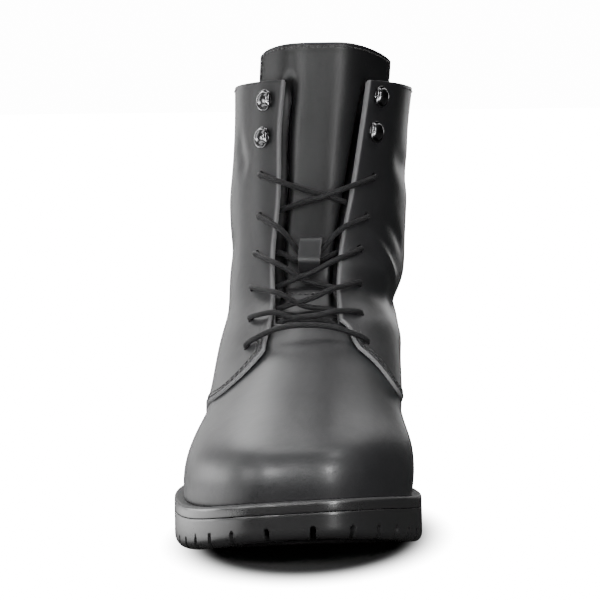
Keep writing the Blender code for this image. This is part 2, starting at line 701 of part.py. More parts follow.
LACE_POINTS = 12
OVER = OVERLAY + GAP + LACE_DIAMETER / 2            # lace's middle over a facing
UNDER = -(SHAFT_INSIDE + 3 * GAP + LACE_DIAMETER / 2)
TUCK = 3.0                                          # how far a lace reaches in under a facing
KEPT_ROW = 3                                        # the crossing up from this row passes the keeper
KEPT_DIP = 0.40                                     # levels by which the keeper holds it down
BAR_STAND = 0.7                                     # how far the lowest lace stands off the quarters
BAR_ARCH = 1.9                                      # and off the vamp's top in the middle


def surface_offset(angle, level, offset):
    return upper_point(angle, level) + upper_normal(angle, level) * offset


def tube(name, points, diameter, finish, folder):
    """A round cord as a curve with filled caps, made a mesh with its caps welded."""
    curve = bpy.data.curves.new(name, "CURVE")
    curve.dimensions = "3D"
    curve.bevel_depth = diameter / 2 * MM
    curve.bevel_resolution = 2
    curve.use_fill_caps = True
    line = curve.splines.new("POLY")
    line.points.add(len(points) - 1)
    for slot, point in zip(line.points, points):
        slot.co = (*to_world(point), 1.0)
    guide = bpy.data.objects.new(name + "_guide", curve)
    folder.objects.link(guide)
    bpy.context.view_layer.update()
    evaluated = guide.evaluated_get(bpy.context.evaluated_depsgraph_get())
    mesh = bpy.data.meshes.new_from_object(evaluated)
    builder = bmesh.new()
    builder.from_mesh(mesh)
    bmesh.ops.remove_doubles(builder, verts=builder.verts, dist=0.01 * MM)
    bpy.data.meshes.remove(mesh)
    bpy.data.objects.remove(guide)
    bpy.data.curves.remove(curve)
    return add_mesh(name, builder, finish, folder)


def lace_start(row, side):
    """Where a lace comes out from under a facing, a little over the row that it comes from."""
    if row == 0:
        level = THROAT_LEVEL + 0.22
        return side * -(front_edge(level, side) + 0.13), level
    here, above = EYELETS[row].height, EYELETS[row + 1].height
    angle, level = facing_place(side, here + 0.2 * (above - here), TUCK)
    return angle, max(level, THROAT_LEVEL + 0.62)


def strand(row, side, on_top):
    """A lace from under the facing at a row to over the opposite facing at the next row up."""
    start, start_level = lace_start(row, side)
    end, end_level = hole_place(-side, EYELETS[row + 1])
    start, end = start % (2 * math.pi), end % (2 * math.pi)
    edge = (-side * -front_edge(end_level, -side)) % (2 * math.pi)
    reach = (edge - start) / (end - start)          # share of the way to the opposite facing's edge
    middle = reach / 2
    stacked = LACE_DIAMETER - GAP if on_top else 0.0
    points = []
    for t in np.linspace(0, 0.97, LACE_POINTS):
        climb = float(smooth_step((t - 0.5) / 0.5)) if row == 0 else t
        angle, level = start + (end - start) * t, start_level + (end_level - start_level) * climb
        bump = math.exp(-((t - middle) / 0.2) ** 2)
        if row == KEPT_ROW:
            level -= KEPT_DIP * bump
        layer = TONGUE_LAYER if level < TONGUE_STEP[1] else 0.0
        low = layer + 2 * GAP + LACE_DIAMETER / 2 - float(tongue_depth(level)) + stacked * bump
        if row and t < 0.15:
            low = min(max(low, UNDER - GAP), UNDER)
        high = OVER + quarter_lift(level) + (2 * GAP if row < 2 else 0.0)
        passed = middle + (0.12 if row == KEPT_ROW else 0.0)
        rise = float(smooth_step((t - passed) / (reach - passed - 0.07)))
        points.append(surface_offset(angle, level, low + (high - low) * rise))
    return points


def make_crossing(row, finish, folder, cutters):
    """Two laces that cross over the tongue, as one solid."""
    upper_strand = tube(f"lace_cross_{row + 1}", strand(row, -1, True), LACE_DIAMETER, finish, folder)
    lower_strand = tube(f"join_lace_{row + 1}", strand(row, 1, False), LACE_DIAMETER, None, cutters)
    boolean(upper_strand, as_cutter(lower_strand), "UNION")


def make_bar(finish, folder):
    """The lowest lace, straight over the top of the vamp between the lowest holes."""
    (start, start_level), (end, end_level) = (hole_place(side, EYELETS[0]) for side in (-1, 1))
    start, end = start % (2 * math.pi), end % (2 * math.pi)
    points = []
    for t in np.linspace(0.02, 0.98, LACE_POINTS):
        arch = math.sin(math.pi * t)
        level = start_level + (end_level - start_level) * t + 0.55 * arch
        points.append(surface_offset(start + (end - start) * t, level, OVER + BAR_STAND + BAR_ARCH * arch))
    return tube("lace_bar", points, LACE_DIAMETER, finish, folder)


# ---------------------------------------------------------------- keeper and hooks

KEEPER_WIDTH = 10.5
KEEPER_LEVELS = (7.70, 7.75, 7.82, 8.20, 8.27, 8.32)
KEEPER_STANDS = (0.0, 3.8, 6.0, 6.0, 3.8, 0.0)      # how far it stands off the tongue at each level
KEEPER_THICKNESS = 1.4
KEEPER_CLEARANCE = 0.8


def make_keeper(finish, folder):
    """The leather loop on the tongue that the laces pass under."""
    builder = bmesh.new()
    rows = []
    for level, stand in zip(KEEPER_LEVELS, KEEPER_STANDS):
        half = KEEPER_WIDTH / 2
        left = throat_angle(half, level, -1)
        right = 2 * math.pi - throat_angle(half, level, 1)
        base = -float(tongue_depth(level)) + KEEPER_CLEARANCE + stand
        corners = [(left, base), (right, base), (right, base + KEEPER_THICKNESS), (left, base + KEEPER_THICKNESS)]
        rows.append([builder.verts.new(to_world(surface_offset(angle, level, out))) for angle, out in corners])
    for lower, higher in zip(rows, rows[1:]):
        quads(builder, lower, higher, closed=True)
    builder.faces.new(rows[0])
    builder.faces.new(rows[-1])
    return add_mesh("lace_keeper", builder, finish, folder)


HOOK_PLATE = 0.9
HOOD_THICKNESS = 1.1


# the hook's bent strip: towards the throat, out from the leather, half width
HOOK_STRIP = np.array([
    (-2.0, 0.45, 3.0),
    (2.2, 0.45, 3.2),
    (3.9, 1.1, 3.3),
    (4.7, 2.3, 3.3),
    (4.3, 3.7, 3.6),
    (2.8, 4.7, 4.1),
    (0.6, 5.0, 4.3),
    (-1.4, 4.75, 3.9),
    (-2.9, 4.0, 2.6),
])


def make_hook(name, side, row, finish, folder, cutters):
    """A speed hook: a round plate on the facing and a strip bent over it, open to the back."""
    place = spot_matrix(side, row, OVERLAY + GAP)
    builder = bmesh.new()
    plate = Matrix.Translation((0, 0, HOOK_PLATE / 2 * MM))
    bmesh.ops.create_cone(builder, cap_ends=True, segments=20, radius1=HOOK_RADIUS * MM,
                          radius2=(HOOK_RADIUS - 0.5) * MM, depth=HOOK_PLATE * MM, matrix=place @ plate)
    hook = add_mesh(name, builder, finish, folder)
    strip = bmesh.new()
    spine = HOOK_STRIP[:, :2]
    along = np.gradient(spine, axis=0)
    along /= np.linalg.norm(along, axis=1)[:, None]
    across = np.stack([-along[:, 1], along[:, 0]], 1) * HOOD_THICKNESS / 2
    rows = []
    for middle, offset, half in zip(spine, across, HOOK_STRIP[:, 2]):
        ring = []
        for sign, width in ((-1, -half), (-1, half), (1, half * 0.8), (1, -half * 0.8)):
            x, z = middle - sign * offset
            ring.append(strip.verts.new(place @ Vector((x * MM, width * MM, z * MM))))
        rows.append(ring)
    for lower, higher in zip(rows, rows[1:]):
        quads(strip, lower, higher, closed=True)
    strip.faces.new(rows[0])
    strip.faces.new(rows[-1])
    boolean(hook, as_cutter(add_mesh("join_" + name, strip, None, cutters)), "UNION")


def main():
    for left in list(bpy.data.objects):
        bpy.data.objects.remove(left)
    boot, cutters = collection("work_boot"), collection("cutters")
    leather = material("black_leather", BLACK_LEATHER, 0.42)
    rubber = material("black_rubber", BLACK_RUBBER, 0.6)
    cord = material("black_lace", BLACK_RUBBER, 0.7)
    metal = material("gunmetal", GUNMETAL, 0.2, 1.0)
    make_outsole(rubber, boot, cutters)
    make_midsole(rubber, boot)
    make_insole(leather, boot)
    make_upper(leather, boot, cutters)
    make_tongue(leather, boot)
    make_keeper(leather, boot)
    make_bar(cord, boot)
    for row in range(len(EYELETS) - 1):
        make_crossing(row, cord, boot, cutters)
    for side, side_name in ((-1, "lateral"), (1, "medial")):
        for place, row in HOOKS.items():
            make_hook(f"hook_{side_name}_{place}", side, row, metal, boot, cutters)


main()
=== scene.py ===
"""A black leather lace-up work boot for the right foot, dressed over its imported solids.

Shoe sizes are in millimetres: s runs along the boot from the heel (0) to the toe, x across
from lateral (-) to medial (+), and z is the height over the floor. The upper is a loft of
near-horizontal rings. A ring's angle runs from 0 at the back of the heel through the lateral
side to pi at the toe and on along the medial side, and its level runs from 0 at the sole to
11 at the collar.
"""
import math
from collections import namedtuple

import bmesh
import bpy
import numpy as np
from bpy.props import FloatProperty, FloatVectorProperty, PointerProperty
from mathutils import Matrix, Quaternion, Vector


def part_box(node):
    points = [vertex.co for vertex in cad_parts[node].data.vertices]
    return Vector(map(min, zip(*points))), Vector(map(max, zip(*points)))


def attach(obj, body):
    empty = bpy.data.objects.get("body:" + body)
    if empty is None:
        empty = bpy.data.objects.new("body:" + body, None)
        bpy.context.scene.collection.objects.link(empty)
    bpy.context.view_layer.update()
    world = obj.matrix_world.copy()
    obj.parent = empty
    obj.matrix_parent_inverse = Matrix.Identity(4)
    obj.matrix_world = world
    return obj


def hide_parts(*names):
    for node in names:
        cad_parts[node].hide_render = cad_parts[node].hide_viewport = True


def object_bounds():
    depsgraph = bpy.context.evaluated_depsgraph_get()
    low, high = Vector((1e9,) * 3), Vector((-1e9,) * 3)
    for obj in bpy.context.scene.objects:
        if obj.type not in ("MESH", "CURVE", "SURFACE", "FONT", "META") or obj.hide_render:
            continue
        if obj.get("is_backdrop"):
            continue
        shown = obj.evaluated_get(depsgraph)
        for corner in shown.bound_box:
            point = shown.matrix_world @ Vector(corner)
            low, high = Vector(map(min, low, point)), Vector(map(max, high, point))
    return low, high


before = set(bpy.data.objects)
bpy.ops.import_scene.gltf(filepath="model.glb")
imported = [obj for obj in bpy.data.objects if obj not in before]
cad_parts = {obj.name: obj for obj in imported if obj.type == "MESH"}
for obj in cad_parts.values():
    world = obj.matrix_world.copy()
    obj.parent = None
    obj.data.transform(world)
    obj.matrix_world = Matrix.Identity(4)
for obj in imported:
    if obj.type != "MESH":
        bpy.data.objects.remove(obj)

bl_info = {
    "name": "Work Boot",
    "version": (1, 0, 0),
    "blender": (4, 5, 0),
    "location": "View3D > Sidebar > Boot",
    "description": "Builds the leather, laces, hooks, sole and studio of a work boot",
    "category": "Add Mesh",
}

MM = 0.001
GAP = 0.3                     # clearance between pieces that meet
TWO_PI = 2 * math.pi
MEDIAL, LATERAL = 1, -1
SOLE_LOW, SOLE_HIGH = (np.array(corner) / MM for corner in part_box("outsole"))
SOLE_LENGTH = float(SOLE_HIGH[1] - SOLE_LOW[1])


# ---------------------------------------------------------------- settings

def length_property(name, description, default, **more):
    return FloatProperty(name=name, description=description, default=default, min=0.0,
                         subtype="DISTANCE", unit="LENGTH", precision=5, **more)


def colour_property(name, description, default):
    return FloatVectorProperty(name=name, description=description, default=default,
                               subtype="COLOR", size=3, min=0.0, max=1.0)


class BootSizes(bpy.types.PropertyGroup):
    stitch_pitch: length_property("Stitch pitch", "From one stitch to the next", 0.0031)
    thread: length_property("Thread", "Diameter of the sewing thread", 0.00065)
    seam_inset: length_property("Seam inset", "From a leather edge to its first seam", 0.0022)
    seam_spacing: length_property("Seam spacing", "Between the two seams of a pair", 0.0023)
    lace: length_property("Lace", "Diameter of the lace", 0.0026)
    quarter_leather: length_property("Quarter leather", "Thickness of the quarters' leather", 0.0015)
    hook_radius: length_property("Hook radius", "Radius of a speed hook's plate", 0.0053)
    lens_mm: FloatProperty(name="Lens", description="Focal length in millimetres", default=178.0, min=20.0)


class BootColours(bpy.types.PropertyGroup):
    leather: colour_property("Leather", "Face of the black leather", (0.011, 0.011, 0.012))
    raw_edge: colour_property("Raw edge", "Cut edge of the leather", (0.11, 0.11, 0.112))
    lining: colour_property("Lining", "Lining of the shaft", (0.030, 0.030, 0.031))
    rubber: colour_property("Rubber", "Sole and welt", (0.011, 0.011, 0.0113))
    lace: colour_property("Lace", "Braided lace", (0.0065, 0.0065, 0.007))
    thread: colour_property("Thread", "Sewing thread", (0.010, 0.010, 0.0105))
    metal: colour_property("Metal", "Dark nickel of the hooks", (0.17, 0.17, 0.175))
    floor: colour_property("Floor", "Studio floor as the boot reflects it", (0.03, 0.03, 0.03))


def sizes():
    return bpy.context.scene.boot_sizes


def colours():
    return bpy.context.scene.boot_colours


# ---------------------------------------------------------------- numbers

def spline(knots, values):
    """A natural cubic spline through the knots, as a function of an array."""
    x, y = np.asarray(knots, float), np.asarray(values, float)
    h = np.diff(x)
    n = len(x)
    system, right = np.eye(n), np.zeros(n)
    for i in range(1, n - 1):
        system[i, i - 1:i + 2] = h[i - 1], 2 * (h[i - 1] + h[i]), h[i]
        right[i] = 6 * ((y[i + 1] - y[i]) / h[i] - (y[i] - y[i - 1]) / h[i - 1])
    bend = np.linalg.solve(system, right)

    def at(t):
        t = np.asarray(t, float)
        i = np.clip(np.searchsorted(x, t) - 1, 0, n - 2)
        a, b, step = x[i + 1] - t, t - x[i], h[i]
        first = y[i] / step - bend[i] * step / 6
        second = y[i + 1] / step - bend[i + 1] * step / 6
        return (bend[i] * a ** 3 + bend[i + 1] * b ** 3) / (6 * step) + first * a + second * b

    return at


def ramp(value, start, end):
    """0 before the start and 1 after the end, smooth between them."""
    t = np.clip((value - start) / (end - start), 0, 1)
    return t * t * (3 - 2 * t)


def bell(value, middle, spread):
    """1 at the middle, fading away on both sides."""
    return np.exp(-((value - middle) / spread) ** 2)


def unit(vectors):
    return vectors / np.maximum(np.linalg.norm(vectors, axis=-1, keepdims=True), 1e-12)


def lengths_along(points):
    """The distance along a line of points to each of them."""
    return np.concatenate([[0], np.cumsum(np.linalg.norm(np.diff(points, axis=0), axis=1))])


def round_turn(count):
    """Angles with even steps all the way round."""
    return np.linspace(0, TWO_PI, count, endpoint=False)


def spokes(turn, first, second):
    """Directions at the angles of a turn between two axes."""
    return np.cos(turn)[:, None] * first + np.sin(turn)[:, None] * second


def resample(points, step):
    """A smooth line through the points with even steps."""
    along = lengths_along(points)
    count = max(2, int(round(along[-1] / step)) + 1)
    at = np.linspace(0, along[-1], count)
    return np.stack([spline(along, points[:, axis])(at) for axis in range(points.shape[1])], 1)


# ---------------------------------------------------------------- the last's surface

# share of the sole's length, half width before its ends are rounded off, centre line
SOLE_TABLE = np.array([
    (0.00, 45.0, 0.0), (0.08, 47.5, 0.0), (0.16, 47.0, -0.4), (0.25, 43.2, -1.6),
    (0.35, 38.0, -4.0), (0.45, 36.6, -7.2), (0.54, 41.5, -8.4), (0.62, 50.6, -6.4),
    (0.70, 58.4, -3.0), (0.78, 61.6, -0.8), (0.86, 61.6, 0.8), (0.93, 58.0, 1.8), (1.00, 50.0, 2.4),
])
SOLE_HALF = spline(SOLE_TABLE[:, 0], SOLE_TABLE[:, 1])
SOLE_CENTRE = spline(SOLE_TABLE[:, 0], SOLE_TABLE[:, 2])
HEEL_ROUNDING, TOE_ROUNDING = 0.60, 0.62
OUTSOLE_TOP = spline((0, 40, 70, 95, 120, 145, 170, 200, 235, 270, 304),
                     (28.6, 28.2, 27.2, 24.8, 21.6, 18.4, 16.4, 15.9, 16.5, 20.0, 25.6))
FORE_FLAT = (156.0, 215.0)    # stretch of the forepart that touches the floor
TOE_SPRING = 14.0
TOE_TWIST = 0.055             # how much more the toe lifts on its medial side, for each mm across
TWIST_RANGE = (212.0, 286.0)
HEEL_BREAST = 78.0
HEEL_BACK_LIFT, HEEL_BACK_LENGTH = 2.0, 12.0
WAIST_HEIGHT = (11.0, 6.0)    # underside of the waist behind and in front
MIDSOLE_THICKNESS = 5.0

VAMP_WALL = 2.2
OVERLAY = 1.6                 # the quarter's leather over the vamp
OVERLAY_LIFT = 1.3            # how much more the quarter's corner stands off at the throat
LIFT_BELOW, LIFT_SPREAD = 0.4, 0.9    # levels: how far under the throat it is highest, and how it fades
SHAFT_INSIDE = 1.0            # inner face of the shaft, under the vamp's level

# back is from the facing's edge, and medial_raise how much higher the row is on the medial side
Row = namedtuple("Row", "height lateral_back medial_back medial_raise", defaults=(2.0,))
EYELETS = (                   # lowest row first
    Row(83.6, 14.4, 6.7), Row(94.6, 14.8, 11.8), Row(107.9, 15.2, 12.3),
    Row(123.4, 11.2, 11.5), Row(140.9, 10.65, 12.2, -0.8), Row(160.4, 10.8, 12.5, -1.6),
)
HOOKS = {"low": Row(178.0, 10.25, 9.6), "high": Row(195.8, 10.25, 9.6, 1.2)}
EYELET_RADIUS, ROD_LENGTH = 1.9, 16.0     # the holes and the rods that punch them

# One row for each level: the ring's back and front ends, its half widths at six shares of its own
# length before its ends are rounded off, the rounding of its ends, and how far it follows the dip
# of the sole.
RING_COLUMNS = ("back_s", "back_z", "front_s", "front_z",
                "half_0", "half_20", "half_40", "half_60", "half_80", "half_100",
                "round_back", "round_front", "dip")
RING_TABLE = np.array([
    (4.6, 34.2, 300.6, 31.2, 42.0, 43.8, 34.4, 45.6, 57.2, 48.0, 0.60, 0.62, 1.00),
    (2.4, 44.0, 301.2, 40.0, 42.4, 44.6, 36.2, 46.8, 57.6, 48.0, 0.60, 0.62, 0.85),
    (2.6, 55.0, 297.0, 50.0, 41.0, 43.2, 37.2, 46.0, 54.8, 47.0, 0.60, 0.63, 0.62),
    (4.4, 65.5, 281.5, 58.6, 39.2, 41.4, 37.2, 42.6, 49.2, 44.0, 0.62, 0.67, 0.40),
    (6.8, 75.5, 249.0, 70.6, 37.6, 39.6, 38.2, 42.4, 45.2, 41.0, 0.64, 0.74, 0.20),
    (9.4, 85.5, 218.0, 84.2, 36.2, 38.8, 39.0, 41.6, 43.0, 39.0, 0.66, 0.80, 0.06),
    (11.6, 96.0, 197.0, 95.0, 35.2, 38.0, 39.0, 39.6, 40.4, 37.0, 0.68, 0.80, 0.00),
    (13.6, 109.0, 178.0, 107.5, 34.8, 38.6, 40.8, 40.2, 39.0, 36.0, 0.70, 0.78, 0.00),
    (15.0, 127.0, 160.6, 126.0, 35.4, 39.4, 41.2, 40.6, 39.0, 36.0, 0.70, 0.76, 0.00),
    (15.4, 149.0, 147.6, 151.0, 36.6, 40.4, 41.8, 41.0, 39.6, 37.0, 0.70, 0.75, 0.00),
    (14.8, 173.0, 139.6, 180.0, 37.6, 40.6, 41.4, 40.6, 39.6, 37.6, 0.70, 0.75, 0.00),
    (13.8, 194.0, 135.4, 205.2, 38.4, 41.4, 42.4, 41.6, 40.4, 38.0, 0.70, 0.75, 0.00),
    (12.8, 213.0, 133.6, 226.4, 39.0, 42.2, 43.4, 42.4, 41.0, 38.0, 0.70, 0.75, 0.00),
])
RING = {name: spline(range(len(RING_TABLE)), RING_TABLE[:, i]) for i, name in enumerate(RING_COLUMNS)}
HALF_SHARES = (0.0, 0.2, 0.4, 0.6, 0.8, 1.0)
HALF_NAMES = RING_COLUMNS[4:10]
HALF_BASIS = [spline(HALF_SHARES, unit_row) for unit_row in np.eye(len(HALF_SHARES))]
CENTRE_FADE = spline((0, 3, 6, 8, 12), (1.0, 0.7, 0.1, 0.0, 0.0))
RIDGE_SHIFT = spline((0, 1, 2, 3, 4, 5, 6, 7, 8, 12), (0.0, 0.8, 2.2, 3.4, 4.8, 4.6, 2.8, 1.4, 0.4, 0.0))
INSTEP, INSTEP_SPREAD = 195.0, 52.0       # where the ridge runs highest, and how far it fades
SHAFT_LEAN = spline((0, 5, 6, 8, 9, 10, 11, 12), (0.0, 0.0, 0.0, 0.2, 0.7, 1.6, 3.0, 4.0))
ANKLE_DENT = 3.2              # the slack of the medial side where ankle and instep meet
DENT_PLACE = (6.1, 0.46)      # its level and share of the ring
DENT_SPREAD = (0.7, 0.26)

THROAT_LEVEL = 6.0
COLLAR_LEVEL = 11.0
EDGE_LEVELS = (0, 1, 2, 3, 3.5, 4, 4.5, 5)
QUARTER_EDGE = {
    LATERAL: spline(EDGE_LEVELS, (130.0, 143.0, 160.0, 187.0, 207.0, 214.3, 213.8, 208.9)),
    MEDIAL: spline(EDGE_LEVELS, (130.0, 143.0, 160.0, 186.0, 202.0, 206.8, 206.6, 206.2)),
}
TURN_LEVELS = (5, 5.25, 5.5, 5.75, 6)    # where the edge turns from the vamp up into the facing
EDGE_TURN = {
    LATERAL: spline(TURN_LEVELS, (0.0, 0.09, 0.41, 0.80, 1.0)),
    MEDIAL: spline(TURN_LEVELS, (0.0, 0.30, 0.44, 0.62, 1.0)),
}
THROAT_MIDDLE = spline((5, 6, 7, 8, 9, 10, 11, 12), (-2.6, -1.4, -1.4, -1.1, 1.9, 3.4, 4.9, 5.6))
TONGUE_MIDDLE = spline((5, 6, 7, 8, 9, 10, 11, 12), (-4.2, -3.2, -2.6, -2.0, -0.2, 1.2, 2.2, 2.7))
HALF_THROAT = spline((6, 7, 8, 9, 10, 11, 12), (15.2, 14.6, 15.3, 16.5, 18.6, 19.3, 19.7))


def rounded(angle, back, front):
    """How much of its half width a ring has at this angle: none at either end."""
    return np.abs(np.sin(angle)) ** np.where(np.cos(angle) > 0, back, front)


def sole_edge(angle, side):
    """(s, x) on the sole's widest outline."""
    s = SOLE_LENGTH / 2 * (1 - np.cos(angle))
    half = SOLE_HALF(s / SOLE_LENGTH) * rounded(angle, HEEL_ROUNDING, TOE_ROUNDING)
    return s, SOLE_CENTRE(s / SOLE_LENGTH) + side * half


def sole_loop(points):
    """The closed outline as an array of (s, x): lateral from heel to toe, then medial back."""
    angle = np.linspace(0, math.pi, points + 1)
    lateral = np.stack(sole_edge(angle, LATERAL), 1)
    medial = np.stack(sole_edge(angle, MEDIAL), 1)
    return np.concatenate([lateral, medial[-2:0:-1]])


SOLE_OUTLINE = sole_loop(120)
AXIS_X = float(SOLE_LOW[0] + SOLE_HIGH[0] - SOLE_OUTLINE[:, 1].max() - SOLE_OUTLINE[:, 1].min()) / 2


def tread_height(s):
    """The underside of the outsole: heel, breast, waist, flat forepart and toe spring."""
    s = np.asarray(s, float)
    behind, ahead = WAIST_HEIGHT
    waist = behind + (ahead - behind) * (s - HEEL_BREAST) / (FORE_FLAT[0] - HEEL_BREAST)
    toe = TOE_SPRING * (np.clip(s - FORE_FLAT[1], 0, None) / (SOLE_LENGTH - FORE_FLAT[1])) ** 1.7
    heel = HEEL_BACK_LIFT * (np.clip(HEEL_BACK_LENGTH - s, 0, None) / HEEL_BACK_LENGTH) ** 2
    return np.where(s <= HEEL_BREAST, heel, np.where(s < FORE_FLAT[0], waist, toe))


def midsole_top(s):
    return OUTSOLE_TOP(s) + GAP + MIDSOLE_THICKNESS


def ring_centre(s, level):
    """Middle of a ring across: over the sole's own middle low down, over the instep higher up."""
    low = SOLE_CENTRE(s / SOLE_LENGTH) * CENTRE_FADE(level)
    return low + RIDGE_SHIFT(level) * bell(s, INSTEP, INSTEP_SPREAD) + SHAFT_LEAN(level)


def on_medial(angle):
    return np.mod(angle, TWO_PI) > math.pi


def last_point(angle, level):
    """Points (s, x, z) of the vamp's outer face, before its creases."""
    angle, level = np.broadcast_arrays(np.mod(angle, TWO_PI), np.asarray(level, float))
    at = {name: curve(level) for name, curve in RING.items()}
    share = (1 - np.cos(angle)) / 2
    s = at["back_s"] + (at["front_s"] - at["back_s"]) * share
    half = sum(basis(share) * at[name] for basis, name in zip(HALF_BASIS, HALF_NAMES))
    medial = on_medial(angle)
    reach = half * rounded(angle, at["round_back"], at["round_front"])
    up, forward = (bell(*part) for part in zip((level, share), DENT_PLACE, DENT_SPREAD))
    dent = np.where(medial, ANKLE_DENT * up * forward, 0.0)
    x = ring_centre(s, level) + np.where(medial, 1.0, -1.0) * reach - dent
    chord = RING_TABLE[0, 1] + (RING_TABLE[0, 3] - RING_TABLE[0, 1]) * share
    dip = at["dip"] * (midsole_top(s) + GAP - chord)
    return np.stack([s, x, at["back_z"] + (at["front_z"] - at["back_z"]) * share + dip], -1)


def last_normal(angle, level):
    """Outward unit normals of the last."""
    step = 0.03
    along = last_point(angle + step, level) - last_point(angle - step, level)
    up = last_point(angle, np.add(level, step)) - last_point(angle, np.subtract(level, step))
    return unit(np.cross(along, up))


def lifted(angle, level, distance):
    """Points that stand off the last by a distance."""
    return last_point(angle, level) + last_normal(angle, level) * np.asarray(distance, float)[..., None]


def angle_at_half(half, level):
    """The angle from the heel, near the front, where the ring is this far off its own middle."""
    half, level = np.broadcast_arrays(np.asarray(half, float), np.asarray(level, float))
    low, high = np.full(half.shape, math.pi / 2), np.full(half.shape, math.pi)
    for _ in range(30):
        middle = (low + high) / 2
        point = last_point(middle, level)
        wide = ring_centre(point[..., 0], level) - point[..., 1] > half
        low, high = np.where(wide, middle, low), np.where(wide, high, middle)
    return (low + high) / 2


def throat_angle(half, level, side, middle=THROAT_MIDDLE):
    """The angle of a line beside the throat, whose middle lies off the ring's own middle."""
    return angle_at_half(half + side * middle(level), level)


def front_edge(level, side):
    """Angle from the heel to the quarter's edge: over the vamp below the throat, then the facing."""
    level = np.asarray(level, float)
    low = np.minimum(level, 5.0)
    share = (QUARTER_EDGE[side](low) - RING["back_s"](low)) / (RING["front_s"](low) - RING["back_s"](low))
    over_vamp = np.arccos(1 - 2 * np.clip(share, 0, 1))
    high = np.maximum(level, THROAT_LEVEL)
    facing = throat_angle(HALF_THROAT(high), high, side)
    turn = EDGE_TURN[side](np.clip(level, 5, THROAT_LEVEL))
    return over_vamp + (facing - over_vamp) * turn


def ring_angle(from_heel, side):
    """The full angle of a place that is this far round from the heel on one side."""
    return np.mod(-side * np.asarray(from_heel, float), TWO_PI)


def facing_place(side, height, back):
    """(angle, level) on the quarter at a height, a distance back from its front edge."""
    low, high = 4.6, COLLAR_LEVEL
    for _ in range(24):
        level = (low + high) / 2
        if last_point(ring_angle(front_edge(level, side), side), level)[2] < height:
            low = level
        else:
            high = level
    edge = float(front_edge(level, side))
    round_ring = edge - np.arange(0, 0.9, 0.004)
    walked = lengths_along(last_point(ring_angle(round_ring, side), level))
    return float(ring_angle(np.interp(back, walked, round_ring), side)), level


def hole_place(side, row):
    """(angle, level) of a hole or hook, from its row."""
    if side == LATERAL:
        return facing_place(side, row.height, row.lateral_back)
    return facing_place(side, row.height + row.medial_raise, row.medial_back)


HOLES = {(side, row): hole_place(side, place) for side in (LATERAL, MEDIAL)
         for row, place in enumerate(EYELETS)}
HOOK_PLACES = {(side, name): hole_place(side, place) for side in (LATERAL, MEDIAL)
               for name, place in HOOKS.items()}


def to_world(points):
    """(s, x, z) in shoe millimetres to metres, with the toe's twist and the sole on the origin."""
    s, x, z = np.moveaxis(np.asarray(points, float), -1, 0)
    z = z + TOE_TWIST * ramp(s, *TWIST_RANGE) * x
    return np.stack([x + AXIS_X, SOLE_LENGTH / 2 - s, z], -1) * MM


# ---------------------------------------------------------------- creases

# Soft folds of the quarters' leather: from one place to another as (s, z), their width and how
# far they stand out (a trough is negative).
Crease = namedtuple("Crease", "s0 z0 s1 z1 width height")
CREASES = {
    LATERAL: (
        Crease(104.0, 178.0, 124.0, 160.0, 6.0, -1.3),
        Crease(112.0, 150.0, 60.0, 138.0, 12.0, 0.7),
        Crease(130.0, 128.0, 60.0, 112.0, 8.0, -0.9),
        Crease(150.0, 106.0, 80.0, 92.0, 10.0, 0.6),
        Crease(40.0, 128.0, 18.0, 120.0, 7.0, -1.4),
        Crease(42.0, 108.0, 16.0, 104.0, 7.0, -1.0),
        Crease(45.0, 165.0, 20.0, 160.0, 12.0, -0.8),
    ),
    MEDIAL: (
        Crease(112.0, 166.0, 60.0, 154.0, 7.0, -1.6),
        Crease(146.0, 136.0, 121.0, 106.0, 4.0, 1.3),
        Crease(128.0, 140.0, 100.0, 122.0, 5.0, -1.0),
        Crease(170.0, 119.0, 132.0, 112.0, 5.0, 0.9),
        Crease(166.0, 107.0, 118.0, 98.0, 6.5, -1.6),
        Crease(200.0, 97.0, 130.0, 84.0, 8.0, 0.9),
        Crease(40.0, 126.0, 18.0, 118.0, 7.0, -1.4),
        Crease(42.0, 106.0, 16.0, 103.0, 7.0, -1.0),
    ),
}
CREASE_REACH = 0.42           # from a fold's middle to where it fades, as a share of its length


def crease_relief(points, creases):
    """How far the folds move each point (s, x, z) out."""
    total = np.zeros(points.shape[:-1])
    for crease in creases:
        start = np.array([crease.s0, crease.z0])
        run = np.array([crease.s1, crease.z1]) - start
        offset = points[..., (0, 2)] - start
        share = offset @ run / (run @ run)
        beside = offset @ np.array([-run[1], run[0]]) / np.linalg.norm(run)
        along = np.exp(-((np.clip(share, -1, 2) - 0.5) / CREASE_REACH) ** 4)
        total += crease.height * along * bell(beside, 0, crease.width)
    return total


# ---------------------------------------------------------------- meshes

def new_object(name, data):
    """A mesh, a camera or a light as an object in the scene."""
    made = bpy.data.objects.new(name, data)
    bpy.context.scene.collection.objects.link(made)
    return made


def new_mesh(name, builder):
    """A mesh from a bmesh, which is freed."""
    mesh = bpy.data.meshes.new(name)
    builder.to_mesh(mesh)
    builder.free()
    return mesh


def mark_raw(mesh, values):
    """Tells the leather's finish where its fibres show."""
    mesh.attributes.new("raw", "FLOAT", "POINT").data.foreach_set("value", np.asarray(values, np.float32))


